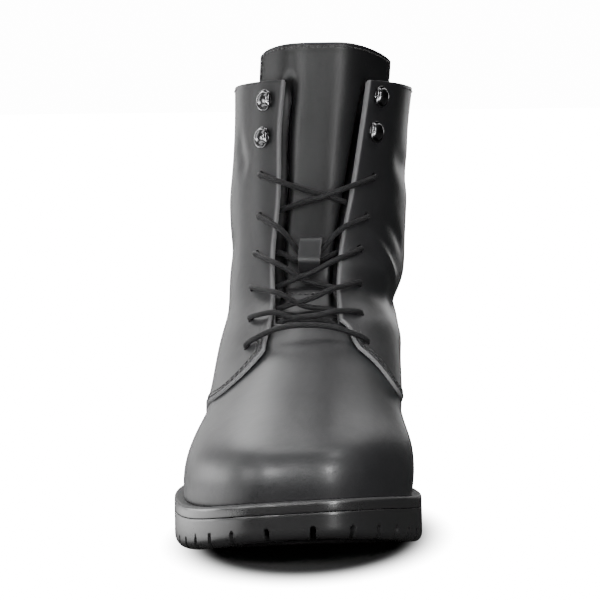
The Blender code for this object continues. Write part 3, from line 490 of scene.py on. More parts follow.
def mesh_object(name, points, faces, finish, raw=None, uv=None, sharp=42):
    """An object from points in metres, its faces turned outwards and smooth up to the sharp angle."""
    mesh = bpy.data.meshes.new(name)
    mesh.from_pydata(np.asarray(points).tolist(), [], [tuple(face) for face in faces])
    if raw is not None:
        mark_raw(mesh, raw)
    if uv is not None:
        layer = mesh.uv_layers.new(name="along")
        corners = np.empty(len(mesh.loops), np.int32)
        mesh.loops.foreach_get("vertex_index", corners)
        layer.data.foreach_set("uv", np.asarray(uv, np.float32)[corners].ravel())
    builder = bmesh.new()
    builder.from_mesh(mesh)
    bmesh.ops.recalc_face_normals(builder, faces=builder.faces)
    builder.to_mesh(mesh)
    builder.free()
    mesh.shade_smooth()
    mesh.set_sharp_from_angle(angle=math.radians(sharp))
    mesh.materials.append(finish)
    return new_object(name, mesh)


def dress(piece, slot, *nodes):
    """The piece belongs to the boot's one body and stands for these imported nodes."""
    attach(piece, "root")
    if nodes:
        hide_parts(*nodes)


def grid_faces(rows, columns, first=0, closed=False):
    """Faces with four corners between a grid's points, which are numbered from the first."""
    index = first + np.arange(rows * columns).reshape(rows, columns)
    if closed:
        index = np.concatenate([index, index[:, :1]], 1)
    corners = (index[:-1, :-1], index[:-1, 1:], index[1:, 1:], index[1:, :-1])
    return np.stack(corners, -1).reshape(-1, 4)


def tube_uv(along, turn):
    """(length along, angle round) for each point of a tube."""
    return np.stack(np.broadcast_arrays(along[:, None], turn[None, :]), -1).reshape(-1, 2)


class Pile:
    """Closed tubes gathered for one mesh."""

    def __init__(self):
        self.points, self.faces, self.count = [], [], 0

    def add(self, grid):
        """Adds a grid of points, closed round its columns and capped at both ends."""
        rows, columns = grid.shape[:2]
        first, last = self.count, self.count + (rows - 1) * columns
        self.points.append(grid.reshape(-1, 3))
        self.faces += grid_faces(rows, columns, first, closed=True).tolist()
        self.faces += [range(first, first + columns), range(last, last + columns)]
        self.count += rows * columns

    def mesh(self, name, finish, place=to_world, **more):
        """One object of them all, with their points moved into the world."""
        return mesh_object(name, place(np.concatenate(self.points)), self.faces, finish, **more)


EDGE_STEPS = tuple(math.radians(angle) for angle in (28, 90, 152))    # round a sheet's cut edge


def leather_sheet(name, outer, inner, finish, bulge=0.35, worn=None):
    """A sheet between two grids of points (s, x, z) with a rounded cut edge all round.

    The edge shows raw fibres, or the worn values of the grid where they are given."""
    rows, columns = outer.shape[:2]
    index = np.arange(rows * columns).reshape(rows, columns)
    border = np.concatenate([index[0, :-1], index[:-1, -1], index[-1, :0:-1], index[:0:-1, 0]])
    near_row = np.clip(np.arange(rows), 1, rows - 2)[:, None]
    near_column = np.clip(np.arange(columns), 1, columns - 2)[None, :]
    away = unit(outer - outer[near_row, near_column]).reshape(-1, 3)[border]
    out_flat, in_flat = outer.reshape(-1, 3), inner.reshape(-1, 3)
    across = in_flat[border] - out_flat[border]
    depth = np.linalg.norm(across, axis=1, keepdims=True) * bulge / 2
    loops = [out_flat[border] + across * (1 - math.cos(step)) / 2 + away * depth * math.sin(step)
             for step in EDGE_STEPS]
    total, ring = rows * columns, len(border)
    faces = [grid_faces(rows, columns), grid_faces(rows, columns, total)[:, ::-1]]
    lines = [border, *(2 * total + ring * k + np.arange(ring) for k in range(len(loops))), border + total]
    for first, second in zip(lines, lines[1:]):
        faces.append(np.stack([first, np.roll(first, -1), np.roll(second, -1), second], 1))
    flat, edge = (np.zeros(total), np.ones(ring)) if worn is None else (worn.ravel(), worn.ravel()[border])
    return mesh_object(name, to_world(np.concatenate([out_flat, in_flat, *loops])), np.concatenate(faces),
                       finish, raw=np.concatenate([flat, flat, *[edge] * len(loops)]))


def cord_mesh(name, path, radius, finish, sides, step=0.5):
    """A round cord along a smooth path, with rounded ends, and its length in mm."""
    line = resample(np.asarray(path), step)
    tangents = unit(np.gradient(line, axis=0))
    side = unit(np.cross(tangents[0], (0.3, 0.2, 1.0)))
    frames = []
    for tangent in tangents:
        side = unit(side - tangent * (side @ tangent))
        frames.append((side, np.cross(tangent, side)))
    frames = np.array(frames)
    turn = round_turn(sides)
    round_off = np.ones(len(line))
    round_off[[0, -1]], round_off[[1, -2]] = 0.55, 0.9
    around = spokes(turn, frames[:, None, 0], frames[:, None, 1])
    along = lengths_along(line)
    pile = Pile()
    pile.add(line[:, None] + around * (radius * round_off)[:, None, None])
    return pile.mesh(name, finish, uv=tube_uv(along, turn)), along[-1]


def cut(piece, cutter):
    """Cuts with an exact Boolean that is applied at once, and removes the cutter."""
    modifier = piece.modifiers.new("cut", "BOOLEAN")
    modifier.operation, modifier.object, modifier.solver = "DIFFERENCE", cutter, "EXACT"
    evaluated = piece.evaluated_get(bpy.context.evaluated_depsgraph_get())
    mesh = bpy.data.meshes.new_from_object(evaluated)
    piece.modifiers.clear()
    piece.data = mesh
    bpy.data.objects.remove(cutter)


# ---------------------------------------------------------------- shaders

# painted shade: the tongue's leather is darkened by this share to stand for the shade of its recess behind
# the facings and laces
TONGUE_PAINTED_SHADE = 0.6                        # the tongue's colour as a share of the leather's


def operation(name, reflected=False):
    def apply(self, other):
        return self.math(name, other, self) if reflected else self.math(name, self, other)
    return apply


class Value:
    """A shader socket that takes part in Python's arithmetic, a Math node for each operator."""

    def __init__(self, nodes, socket):
        self.nodes, self.socket = nodes, socket

    def math(self, name, *values):
        return self.nodes.node("ShaderNodeMath", {"operation": name}, dict(enumerate(values)))

    __add__, __radd__ = operation("ADD"), operation("ADD", True)
    __sub__, __rsub__ = operation("SUBTRACT"), operation("SUBTRACT", True)
    __mul__, __rmul__ = operation("MULTIPLY"), operation("MULTIPLY", True)
    __truediv__, __rtruediv__ = operation("DIVIDE"), operation("DIVIDE", True)
    __pow__, __rpow__ = operation("POWER"), operation("POWER", True)

    def sine(self):
        return self.math("SINE", self)

    def size(self):
        return self.math("ABSOLUTE", self)

    def between(self, low, high, start=0.0, end=1.0):
        """The start under the low value and the end over the high one, smooth between them."""
        inputs = {"Value": self, "From Min": low, "From Max": high, "To Min": start, "To Max": end}
        return self.nodes.node("ShaderNodeMapRange", {"interpolation_type": "SMOOTHSTEP"}, inputs)


class Nodes:
    """The nodes of a material or a world."""

    def __init__(self, tree):
        self.tree = tree

    def node(self, kind, settings=None, inputs=None, output=0):
        made = self.tree.nodes.new(kind)
        for label, value in (settings or {}).items():
            setattr(made, label, value)
        for label, value in (inputs or {}).items():
            self.join(made.inputs[label], value)
        return Value(self, made.outputs[output]) if made.outputs else made

    def join(self, socket, value):
        if isinstance(value, Value):
            self.tree.links.new(value.socket, socket)
        elif hasattr(value, "__len__") and len(value) == 3 and socket.type == "RGBA":
            socket.default_value = (*value, 1.0)
        else:
            socket.default_value = value

    def axis(self, vector, number):
        """One number of a vector: 0 for x, 1 for y and 2 for z."""
        return self.node("ShaderNodeSeparateXYZ", None, {0: vector}, output=number)


class Finish(Nodes):
    """A material in the making: one Principled shader and the nodes that feed it."""

    def __init__(self, name, **constants):
        self.material = bpy.data.materials.new(name)
        self.material.use_nodes = True
        super().__init__(self.material.node_tree)
        self.shader = self.tree.nodes["Principled BSDF"]
        for label, value in constants.items():
            self.shader.inputs[label.replace("_", " ")].default_value = value

    def feed(self, **inputs):
        for label, value in inputs.items():
            self.join(self.shader.inputs[label.replace("_", " ")], value)
        return self.material

    def place(self):
        return self.node("ShaderNodeTexCoord", output="Object")

    def noise(self, scale, detail, roughness=0.5, vector=None):
        inputs = {"Vector": vector or self.place(), "Scale": scale, "Detail": detail, "Roughness": roughness}
        return self.node("ShaderNodeTexNoise", None, inputs)

    def cells(self, scale):
        inputs = {"Vector": self.place(), "Scale": scale}
        return self.node("ShaderNodeTexVoronoi", None, inputs, output="Distance")

    def stretched(self, x, y, z):
        """The object's coordinates with each axis scaled."""
        return self.node("ShaderNodeVectorMath", {"operation": "MULTIPLY"}, {0: self.place(), 1: (x, y, z)})

    def attribute(self, name):
        return self.node("ShaderNodeAttribute", {"attribute_name": name}, output="Fac")

    def along(self):
        """(length along, angle round) of a cord or stitch, from its UV map."""
        uv = self.node("ShaderNodeUVMap", {"uv_map": "along"})
        return self.axis(uv, 0), self.axis(uv, 1)

    def mix(self, share, first, second):
        return self.node("ShaderNodeMix", {"data_type": "RGBA"}, {0: share, 6: first, 7: second}, output=2)

    def shades(self, share, colour, dark, light):
        """The colour from a darker to a lighter shade, each given as a share of it."""
        return self.mix(share, [c * dark for c in colour], [c * light for c in colour])

    def bump(self, height, distance, strength, under=None):
        inputs = {"Height": height, "Distance": distance, "Strength": strength}
        if under:
            inputs["Normal"] = under
        return self.node("ShaderNodeBump", None, inputs)


def leather_finish(name, colour, smooth=0.42, grain=1.0, coat=0.08, shine=0.5):
    """Fine-grained leather with a few scuffs, and raw fibres where the attribute raw says so."""
    finish = Finish(name, Coat_Roughness=0.22, Specular_IOR_Level=shine)
    raw = finish.attribute("raw")
    pores, fine, cloud = finish.cells(1500.0), finish.noise(2600.0, 3.0), finish.noise(70.0, 3.0)
    streak = finish.noise(1.0, 4.0, 0.6, finish.stretched(160.0, 90.0, 420.0))
    scuff = streak.between(0.66, 0.80) * cloud.between(0.48, 0.62)
    dusty = finish.mix(scuff * 0.30, finish.shades(cloud, colour, 0.82, 1.2), (0.07, 0.07, 0.07))
    skin = finish.bump(pores * 0.6 + fine * 0.4, 0.00005 * grain, 0.55)
    soft = finish.bump(cloud, 0.0006, 0.35, skin)
    fibres = finish.bump(finish.noise(1400.0, 4.0, 0.7), 0.0002, 0.8)
    normal = finish.node("ShaderNodeMix", {"data_type": "VECTOR"}, {0: raw, 4: soft, 5: fibres}, output=1)
    rough = smooth + cloud * 0.08 + fine * 0.06 + scuff * 0.12
    return finish.feed(Base_Color=finish.mix(raw, dusty, colours().raw_edge), Normal=normal,
                       Roughness=rough + raw * (0.72 - rough), Coat_Weight=coat * (1 - raw))


def black_leather():
    return leather_finish("black_leather", colours().leather)


# the tongue's finish, its colour darkened as painted shade, with its own roughness and shine
def tongue_leather_painted_shade():
    colour = [c * TONGUE_PAINTED_SHADE for c in colours().leather]
    return leather_finish("tongue_leather_painted_shade", colour, smooth=0.37, coat=0.04, shine=0.46)


def lining_leather():
    return leather_finish("lining_leather", colours().lining, smooth=0.6, grain=1.6, coat=0.0)


def black_rubber():
    """Smooth on the sides of the sole, matt on the ledge round the upper."""
    finish = Finish("black_rubber", Specular_IOR_Level=0.7, Coat_Roughness=0.16)
    cloud, fine = finish.noise(45.0, 3.0), finish.noise(1500.0, 3.0, 0.6)
    ledge = finish.axis(finish.node("ShaderNodeNewGeometry", output="Normal"), 2).between(0.04, 0.5)
    wear = finish.noise(1.0, 4.0, 0.6, finish.stretched(120.0, 120.0, 500.0)).between(0.62, 0.82)
    colour = finish.mix(wear * 0.30, finish.shades(cloud, colours().rubber, 0.85, 1.25), (0.05, 0.05, 0.048))
    return finish.feed(Base_Color=colour, Normal=finish.bump(fine, 0.00006, 0.5),
                       Roughness=0.23 + cloud * 0.06 + fine * 0.05 + wear * 0.1 + ledge * 0.45,
                       Coat_Weight=0.3 - ledge * 0.3)


def braided_lace():
    finish = Finish("braided_lace", Specular_IOR_Level=0.25, Sheen_Weight=0.03, Sheen_Roughness=0.4)
    length, turn = finish.along()
    braid = ((length * 3.2 + turn * 4).sine() * (length * 3.2 - turn * 4).sine()).size()
    fuzz = finish.noise(2600.0, 2.0)
    return finish.feed(Base_Color=finish.shades(braid * 0.75 + fuzz * 0.25, colours().lace, 0.6, 1.7),
                       Roughness=0.50 + fuzz * 0.16 - braid * 0.06,
                       Normal=finish.bump(braid + fuzz * 0.3, 0.00022, 0.8))


def waxed_thread():
    finish = Finish("waxed_thread", Sheen_Weight=0.15)
    length, turn = finish.along()
    twist = (length * 9.0 + turn * 2).sine() * 0.5 + 0.5
    return finish.feed(Base_Color=finish.shades(twist, colours().thread, 0.7, 1.6),
                       Roughness=0.42 + 0.1 * twist, Normal=finish.bump(twist, 0.00008, 0.7))


def dark_nickel():
    finish = Finish("dark_nickel", Metallic=1.0)
    haze, fine = finish.noise(260.0, 3.0), finish.noise(3200.0, 2.0)
    return finish.feed(Base_Color=finish.shades(haze, colours().metal, 0.85, 1.12),
                       Roughness=0.17 + haze * 0.08 + fine * 0.03, Normal=finish.bump(fine, 0.00001, 0.5))


def footbed_cloth():
    finish = Finish("footbed_cloth", Sheen_Weight=0.2)
    across, along = ((finish.axis(finish.place(), number) * 4200.0).sine() for number in (0, 1))
    threads = across * along * 0.5 + 0.5
    cloud, fuzz = finish.noise(60.0, 3.0), finish.noise(2200.0, 3.0, 0.6)
    colour = finish.mix(threads * 0.6 + cloud * 0.4, (0.020, 0.020, 0.021), (0.055, 0.055, 0.057))
    return finish.feed(Base_Color=colour, Roughness=0.78 + fuzz * 0.15,
                       Normal=finish.bump(threads + fuzz * 0.5, 0.00015, 0.7))


MAKERS = {maker.__name__: maker for maker in (
    black_leather, tongue_leather_painted_shade, lining_leather, black_rubber,
    braided_lace, waxed_thread, dark_nickel, footbed_cloth)}


def finish_of(name):
    """The finish of this name, made when it is first asked for."""
    return bpy.data.materials.get(name) or MAKERS[name]()


# ---------------------------------------------------------------- vamp and quarters

# close columns beside the quarter's front edge
FINE_COLUMNS = np.array([0.0, 0.07, 0.2, 0.4, 0.65, 0.95, 1.3, 1.7, 2.2, 2.7,
                         3.4, 4.1, 4.8, 5.5, 6.2, 6.9, 7.6, 8.3, 9.0])
EDGE_ROLL = 1.15                          # how far in the leather is rounded over at its front edge
WORN_SHARES = (0.35, 1.35)                # its fibres show up to there, as shares of the roll
REST_COLUMNS = 96
HIDDEN_VAMP = 9.0                         # how far the vamp runs on under the quarters
CAD_COLUMNS, CAD_CORNER = 34, 5           # the solid's lift fades over 5 of its 34 columns
SEAM_GROOVE, SEAM_GROOVE_WIDTH = 0.22, 0.55
HEEL_SEAM, HEEL_SEAM_WIDTH = 0.45, 0.9    # the closed seam down the back
SEAM_TOP = 5.6                            # level where the seams by the quarters' edge end
MIN_SLANT = 0.34                          # the flattest crossing that the close columns follow
VAMP_COLUMNS = 92
VAMP_UNDER = 0.05                         # how far the vamp sinks where the quarters cover it


def edge_slant(level, side):
    """Sine of the angle between the quarter's edge and the ring that it crosses."""
    moves, here = (-0.04, 0.04), front_edge(level, side)
    edge = [last_point(ring_angle(front_edge(level + move, side), side), level + move) for move in moves]
    ring = [last_point(ring_angle(here + move, side), level) for move in moves]
    up, along = unit(edge[1] - edge[0]), unit(ring[1] - ring[0])
    return max(MIN_SLANT, float(np.linalg.norm(np.cross(up, along))))


def ring_walk(level, side, start, end=0.0, count=260):
    """Angles from the heel between two places and the distances walked to them."""
    share = np.linspace(0, 1, count)
    if end > start:                        # towards the toe: closer samples at the blunt tip
        share = 1 - (1 - share) ** 3
    from_heel = start + (end - start) * share
    return from_heel, lengths_along(last_point(ring_angle(from_heel, side), level))


def both_sides(halves, turn=0.0):
    """Angles and distances from lateral to medial, from halves that end at the same place."""
    (lateral, lateral_far), (medial, medial_far) = halves
    return np.concatenate([lateral, medial[-2::-1] + turn]), np.concatenate([lateral_far, medial_far[-2::-1]])


def quarter_row(level):
    """(angles, distance of each column from its front edge), lateral edge to medial edge."""
    halves = []
    for side in (LATERAL, MEDIAL):
        from_heel, walked = ring_walk(level, side, float(front_edge(level, side)))
        slant = edge_slant(level, side)
        near = FINE_COLUMNS / slant
        distances = np.concatenate([near, np.linspace(near[-1], walked[-1], REST_COLUMNS + 1)[1:]])
        halves.append((-side * np.interp(distances, walked, from_heel), distances * slant))
    return both_sides(halves)


def vamp_row(level):
    """(angles, how far each column lies behind the quarter's edge), lateral to medial."""
    halves = []
    for side in (LATERAL, MEDIAL):
        edge = float(front_edge(level, side))
        back, walked_back = ring_walk(level, side, edge)
        hidden = HIDDEN_VAMP / edge_slant(level, side)
        start = float(np.interp(hidden, walked_back, back))
        from_heel, walked = ring_walk(level, side, start, math.pi)
        distances = np.linspace(0, walked[-1], VAMP_COLUMNS + 1)
        halves.append((-side * np.interp(distances, walked, from_heel), hidden - distances))
    return both_sides(halves, TWO_PI)


def sheet_grid(row_of, levels):
    """(angle, level, distance) of each place on a sheet, from a function that gives its rows."""
    angle, far = (np.array(part) for part in zip(*(row_of(level) for level in levels)))
    return angle, np.broadcast_to(levels[:, None], angle.shape), far


def near_edge(angle, level):
    """1 at the quarter's front edge, fading out behind it."""
    wrapped, medial = np.mod(angle, TWO_PI), on_medial(angle)
    edges = front_edge(level, LATERAL), front_edge(level, MEDIAL)
    behind = np.where(medial, edges[1], edges[0]) - np.where(medial, TWO_PI - wrapped, wrapped)
    return 1 - ramp(behind, 0, sum(edges) / CAD_COLUMNS * CAD_CORNER)


def quarter_lift(level):
    """How much more the quarters stand off at the throat's corner."""
    return OVERLAY_LIFT * bell(level, THROAT_LEVEL - LIFT_BELOW, LIFT_SPREAD)


def side_relief(angle, level):
    """How far the folds move the quarters out."""
    points = last_point(angle, level)
    lateral, medial = (crease_relief(points, CREASES[side]) for side in (LATERAL, MEDIAL))
    return np.where(on_medial(angle), medial, lateral)


def quarter_face(angle, level, out=0.0):
    """Points on the quarters' outer face with its lift and folds, moved out by a distance."""
    lift = quarter_lift(level) * near_edge(angle, level)
    return lifted(angle, level, OVERLAY + lift + side_relief(angle, level) + out)


def inner_depth(angle, level):
    """How deep the upper's inner face lies, from 1 mm in the shaft to the vamp's wall."""
    below = 1 - ramp(level, THROAT_LEVEL + 0.1, THROAT_LEVEL + 0.9)
    return SHAFT_INSIDE + (VAMP_WALL - SHAFT_INSIDE) * near_edge(angle, level) * below


def make_quarters():
    """The quarters with their grooves and holes, and the lining of the shaft."""
    low, high = np.linspace(0, THROAT_LEVEL, 62), np.linspace(THROAT_LEVEL, COLLAR_LEVEL, 72)
    angle, level, far = sheet_grid(quarter_row, np.concatenate([low, high[1:]]))
    groove = sum(bell(far, seam, SEAM_GROOVE_WIDTH) for seam in seam_distances()) * SEAM_GROOVE
    groove *= 1 - ramp(level, SEAM_TOP, SEAM_TOP + 0.3)
    x = last_point(angle, level)[..., 1]
    heel_seam = HEEL_SEAM * bell(x, float(SHAFT_LEAN(8)), HEEL_SEAM_WIDTH) * (np.cos(angle) > 0.97)
    rolled = EDGE_ROLL - np.sqrt(EDGE_ROLL ** 2 - np.clip(EDGE_ROLL - far, 0, EDGE_ROLL) ** 2)
    outer = quarter_face(angle, level, -groove - heel_seam - rolled)
    inner = quarter_face(angle, level, -min(sizes().quarter_leather / MM, OVERLAY - 0.1))
    worn = 1 - ramp(far, *(share * EDGE_ROLL for share in WORN_SHARES))
    piece = leather_sheet("quarters", outer, inner, finish_of("black_leather"), worn=worn)
    angle, level, _ = sheet_grid(quarter_row, np.linspace(0, COLLAR_LEVEL - 0.03, 70))
    angle, level = angle[:, 2:-2:2], level[:, 2:-2:2]
    inside = side_relief(angle, level) - inner_depth(angle, level)
    shell = leather_sheet("shaft_lining", lifted(angle, level, inside + SHAFT_INSIDE - 0.04),
                          lifted(angle, level, inside), finish_of("lining_leather"))
    for made in (piece, shell):
        cut(made, hole_rods())
        dress(made, "leather", "upper")


def make_vamp():
    """The plain vamp, which runs on under the quarters."""
    angle, level, behind = sheet_grid(vamp_row, np.linspace(0, THROAT_LEVEL, 104))
    under = ramp(behind, 0.5, 2.0)         # 1 where the quarters cover it
    relief = vamp_relief(last_point(angle, level)) * (1 - under)
    outer = lifted(angle, level, relief - VAMP_UNDER * under)
    inner = lifted(angle, level, relief - VAMP_WALL + (VAMP_WALL - 0.5) * under)
    dress(leather_sheet("vamp", outer, inner, finish_of("black_leather")), "leather", "upper")


# Soft folds over the vamp: middle as (s, x), the spreads along and across, and the height.
Fold = namedtuple("Fold", "s x along across height")
VAMP_FOLDS = (Fold(212.0, -24.0, 8.0, 22.0, -0.35), Fold(214.0, 28.0, 8.0, 20.0, -0.4),
              Fold(228.0, 4.0, 11.0, 30.0, 0.25))


def vamp_relief(points):
    return sum(height * bell(points[..., 0], s, along) * bell(points[..., 1], x, across)
               for s, x, along, across, height in VAMP_FOLDS)


# ---------------------------------------------------------------- places on the facings

def spot_frame(side, place, out):
    """A matrix at a hole or hook: X towards the throat, Y up the facing, Z outwards, in metres."""
    angle, level = place
    point, normal = last_point(angle, level), last_normal(angle, level)
    up = last_point(angle, level + 0.1) - point
    up = unit(up - normal * (normal @ up))
    outward, upward = (Vector((x, -s, z)) for s, x, z in (normal, up))
    inward = upward.cross(outward)
    if inward.x * side > 0:
        inward = -inward
        upward = outward.cross(inward)
    axes = Matrix((inward, upward, outward)).transposed().to_4x4()
    return Matrix.Translation(Vector(to_world(point + normal * out))) @ axes


def hole_rods():
    """Rods that punch the lace holes, with the raw leather's mark for the walls that they leave."""
    builder = bmesh.new()
    radius = EYELET_RADIUS * MM
    for (side, _), place in HOLES.items():
        bmesh.ops.create_cone(builder, cap_ends=True, segments=24, radius1=radius, radius2=radius,
                              depth=ROD_LENGTH * MM, matrix=spot_frame(side, place, 0.0))
    mesh = new_mesh("hole_rods", builder)
    mark_raw(mesh, np.ones(len(mesh.vertices)))
    return new_object("hole_rods", mesh)


# ---------------------------------------------------------------- tongue

TONGUE_HALF = spline((5.4, 6.0, 7.0, 8.5, 10.0, 11.0, 11.8), (20.0, 23.0, 26.0, 30.5, 34.6, 37.2, 37.5))
TONGUE_FOOT, TONGUE_TOP = 5.45, 11.82
TONGUE_STEP = (6.4, 7.35)                 # levels between which the tongue carries a second layer
TONGUE_LAYER, PATCH_HALF = 0.9, 0.86      # its thickness, and the share of the tongue's width that it covers
TONGUE_DEPTH = 6.4
TONGUE_THICKNESS = 2.6
CORNER_START, LATERAL_DROP, MEDIAL_DROP = 10.4, 0.18, 0.30
# soft ridges down the tongue: share across (-1 lateral to 1 medial), spread, height
TONGUE_RIDGES = ((-0.36, 0.24, 0.55), (0.20, 0.24, 0.60), (-0.08, 0.14, -0.20),
                 (-0.72, 0.18, -0.35), (0.66, 0.22, -0.40))
TONGUE_BAND = 2.6                         # width of the pressed band at its edge
LEVEL_HEIGHT = 21.0                       # from one level to the next at the collar
PRESSED, PRESSED_WIDTH = 0.28, 0.5
# the troughs under the quarters' front edges: how far in from the edge, spread and depth
Furrow = namedtuple("Furrow", "side inside spread depth")
FURROWS = (Furrow(LATERAL, 1.6, 3.4, 4.2), Furrow(MEDIAL, 0.0, 2.8, 3.6))
FURROW_START, FURROW_END, RIDGE_START = (6.4, 7.6), (10.6, 11.3), (7.6, 8.4)    # levels


def tongue_depth(level):
    under_vamp = VAMP_WALL + 3 * GAP
    return under_vamp + (TONGUE_DEPTH - under_vamp) * ramp(level, THROAT_LEVEL, THROAT_LEVEL + 0.9)


def tongue_place(aside, level):
    """(angle, level) on the tongue, from -1 at its lateral edge to 1 at its medial edge."""
    aside, level = np.asarray(aside, float), np.asarray(level, float)
    lateral, medial = (throat_angle(TONGUE_HALF(level), level, side, TONGUE_MIDDLE)
                       for side in (LATERAL, MEDIAL))
    angle = lateral + (TWO_PI - medial - lateral) * (aside + 1) / 2
    drop = np.where(aside < 0, LATERAL_DROP * np.abs(aside) ** 6, MEDIAL_DROP * np.abs(aside) ** 2)
    return angle, level - drop * ramp(level, CORNER_START, TONGUE_TOP)


def furrows(aside, level):
    """How far the tongue sinks where it runs under the quarters' front edges."""
    across = aside * TONGUE_HALF(level) + TONGUE_MIDDLE(level) - THROAT_MIDDLE(level)
    sunk = ramp(level, *FURROW_START) * (1 - ramp(level, *FURROW_END))
    return sunk * sum(depth * bell(across, side * (HALF_THROAT(level) - inside), spread)
                      for side, inside, spread, depth in FURROWS)


def tongue_face(aside, level, out=0.0):
    """Points of the tongue's front face, moved out by a distance."""
    level = np.asarray(level, float)
    angle, at = tongue_place(aside, level)
    relief = sum(height * bell(aside, middle, spread) for middle, spread, height in TONGUE_RIDGES)
    relief = relief * ramp(level, *RIDGE_START)
    return lifted(angle, at, relief - tongue_depth(at) - furrows(aside, level) + out)


def make_tongue():
    """The padded tongue and the second layer sewn on it."""
    finish = finish_of("tongue_leather_painted_shade")
    aside, level = np.meshgrid(np.linspace(-1, 1, 65), np.linspace(TONGUE_FOOT, TONGUE_TOP, 133))
    from_edge = np.minimum((1 - np.abs(aside)) * TONGUE_HALF(level), (TONGUE_TOP - level) * LEVEL_HEIGHT)
    pressed = PRESSED * bell(from_edge, TONGUE_BAND, PRESSED_WIDTH)
    outer, inner = (tongue_face(aside, level, out) for out in (-pressed, -TONGUE_THICKNESS))
    dress(leather_sheet("tongue_leather_painted_shade", outer, inner, finish, bulge=0.5), "leather", "tongue")
    low, high = TONGUE_STEP
    aside, level = np.meshgrid(np.linspace(-PATCH_HALF, PATCH_HALF, 49), np.linspace(low, high - 0.02, 22))
    outer, inner = (tongue_face(aside, level, out) for out in (TONGUE_LAYER, 0.06))
    dress(leather_sheet("tongue_patch", outer, inner, finish), "leather", "tongue")


KEEPER_WIDTH, KEEPER_THICKNESS, KEEPER_CLEARANCE = 9.8, 1.4, 0.6
KEEPER_ASIDE = 1.6                        # how far it sits to the inner side of the throat's middle
KEEPER_LEVELS = (7.70, 7.75, 7.82, 8.01, 8.20, 8.27, 8.32)
KEEPER_STANDS = (0.0, 3.6, 5.9, 6.3, 5.9, 3.6, 0.0)


def make_keeper():
    """The leather loop on the tongue that holds the laces down."""
    count = 40
    stations = np.linspace(0, len(KEEPER_LEVELS) - 1, count)
    level, stand = (spline(range(len(table)), table)(stations) for table in (KEEPER_LEVELS, KEEPER_STANDS))
    half = np.linspace(-KEEPER_WIDTH / 2, KEEPER_WIDTH / 2, 17)
    middle = []
    for at, out in zip(level, stand):
        left = throat_angle(-half[0] - KEEPER_ASIDE, at, LATERAL)
        right = TWO_PI - throat_angle(half[-1] + KEEPER_ASIDE, at, MEDIAL)
        angle = left + (right - left) * (half - half[0]) / KEEPER_WIDTH
        middle.append(lifted(angle, at, KEEPER_CLEARANCE + out + KEEPER_THICKNESS / 2 - tongue_depth(at)))
    middle = np.array(middle)
    normal = unit(np.cross(*(unit(np.gradient(middle, axis=axis)) for axis in (0, 1))))
    if normal[count // 2, 8] @ last_normal(math.pi, 8.0) < 0:
        normal = -normal
    out = normal * (KEEPER_THICKNESS / 2 - 0.15)
    piece = leather_sheet("keeper", middle + out, middle - out, finish_of("black_leather"))
    dress(piece, "leather", "lace_keeper")


# ---------------------------------------------------------------- laces

LACE_DIAMETER = 2.6
OVER = OVERLAY + GAP + LACE_DIAMETER / 2  # the lace's middle over a facing
UNDER = -(SHAFT_INSIDE + 3 * GAP + LACE_DIAMETER / 2)
TUCK = 3.0                                # how far a lace reaches in under a facing
BAR_OUT, BAR_AHEAD = 6.22, 0.13           # level where the lowest laces come out, and their angle to the edge
ROW_OUT, TOP_OUT = 0.2, 0.36              # how far up to the next row the other laces come out
LOWEST_OUT = 6.62                         # but never under this level
KEPT_ROW, KEPT_DIP = 3, 0.40              # the crossing that passes the keeper, and its dip in levels
BAR_STAND, BAR_ARCH, BAR_RISE = 0.7, 1.9, 0.55    # the lowest bar: its stand, its arch and its rise in levels
LACE_POINTS, LACE_END = 18, 0.94          # points of a strand, and the share of its way that they cover
CROSSING_SPREAD = 0.2                     # how far from their crossing one lace rises over the other
OVER_BEFORE = 0.07                        # a lace has risen this far before the facing that it goes over


def lace_start(row, side):
    """Where a lace comes out from under a facing, a little over the row that it comes from."""
    if row == 0:
        return float(ring_angle(front_edge(BAR_OUT, side) + BAR_AHEAD, side)), BAR_OUT
    here, above = EYELETS[row].height, EYELETS[row + 1].height
    share = TOP_OUT if side == MEDIAL and row == len(EYELETS) - 2 else ROW_OUT
    angle, level = facing_place(side, here + share * (above - here), TUCK)
    return angle, max(level, LOWEST_OUT)


def strand(row, side, on_top):
    """A lace from under the facing at a row to over the opposite facing at the next row up."""
    start, start_level = lace_start(row, side)
    end, end_level = HOLES[-side, row + 1]
    edge = float(ring_angle(front_edge(end_level, -side), -side))
    reach = (edge - start) / (end - start)      # the share of the way where the opposite facing begins
    middle = reach / 2
    passed = middle + (0.12 if row == KEPT_ROW else 0.0)
    stacked = LACE_DIAMETER - GAP if on_top else 0.0
    points = []
    for t in np.linspace(0, LACE_END, LACE_POINTS):
        climb = float(ramp(t, 0.5, 1)) if row == 0 else t
        angle, level = start + (end - start) * t, start_level + (end_level - start_level) * climb
        bump = float(bell(t, middle, CROSSING_SPREAD))
        if row == KEPT_ROW:
            level -= KEPT_DIP * bump
        layer = TONGUE_LAYER if level < TONGUE_STEP[1] else 0.0
        low = layer + 2 * GAP + LACE_DIAMETER / 2 - float(tongue_depth(level)) + stacked * bump
        if row and t < 0.15:
            low = min(max(low, UNDER - GAP), UNDER)
        high = OVER + float(quarter_lift(level)) + (2 * GAP if row < 2 else 0.0)
        rise = float(ramp(t, passed, reach - OVER_BEFORE))
        points.append(lifted(angle, level, low + (high - low) * rise))
    return points


def lace_dive(row, side):
    """Points down through a hole, from over the facing to under it."""
    angle, level = HOLES[side, row]
    over = OVERLAY + float(quarter_lift(level)) + 0.5
    return [lifted(angle, level, out) for out in (over, 0.2, UNDER + 0.7)]


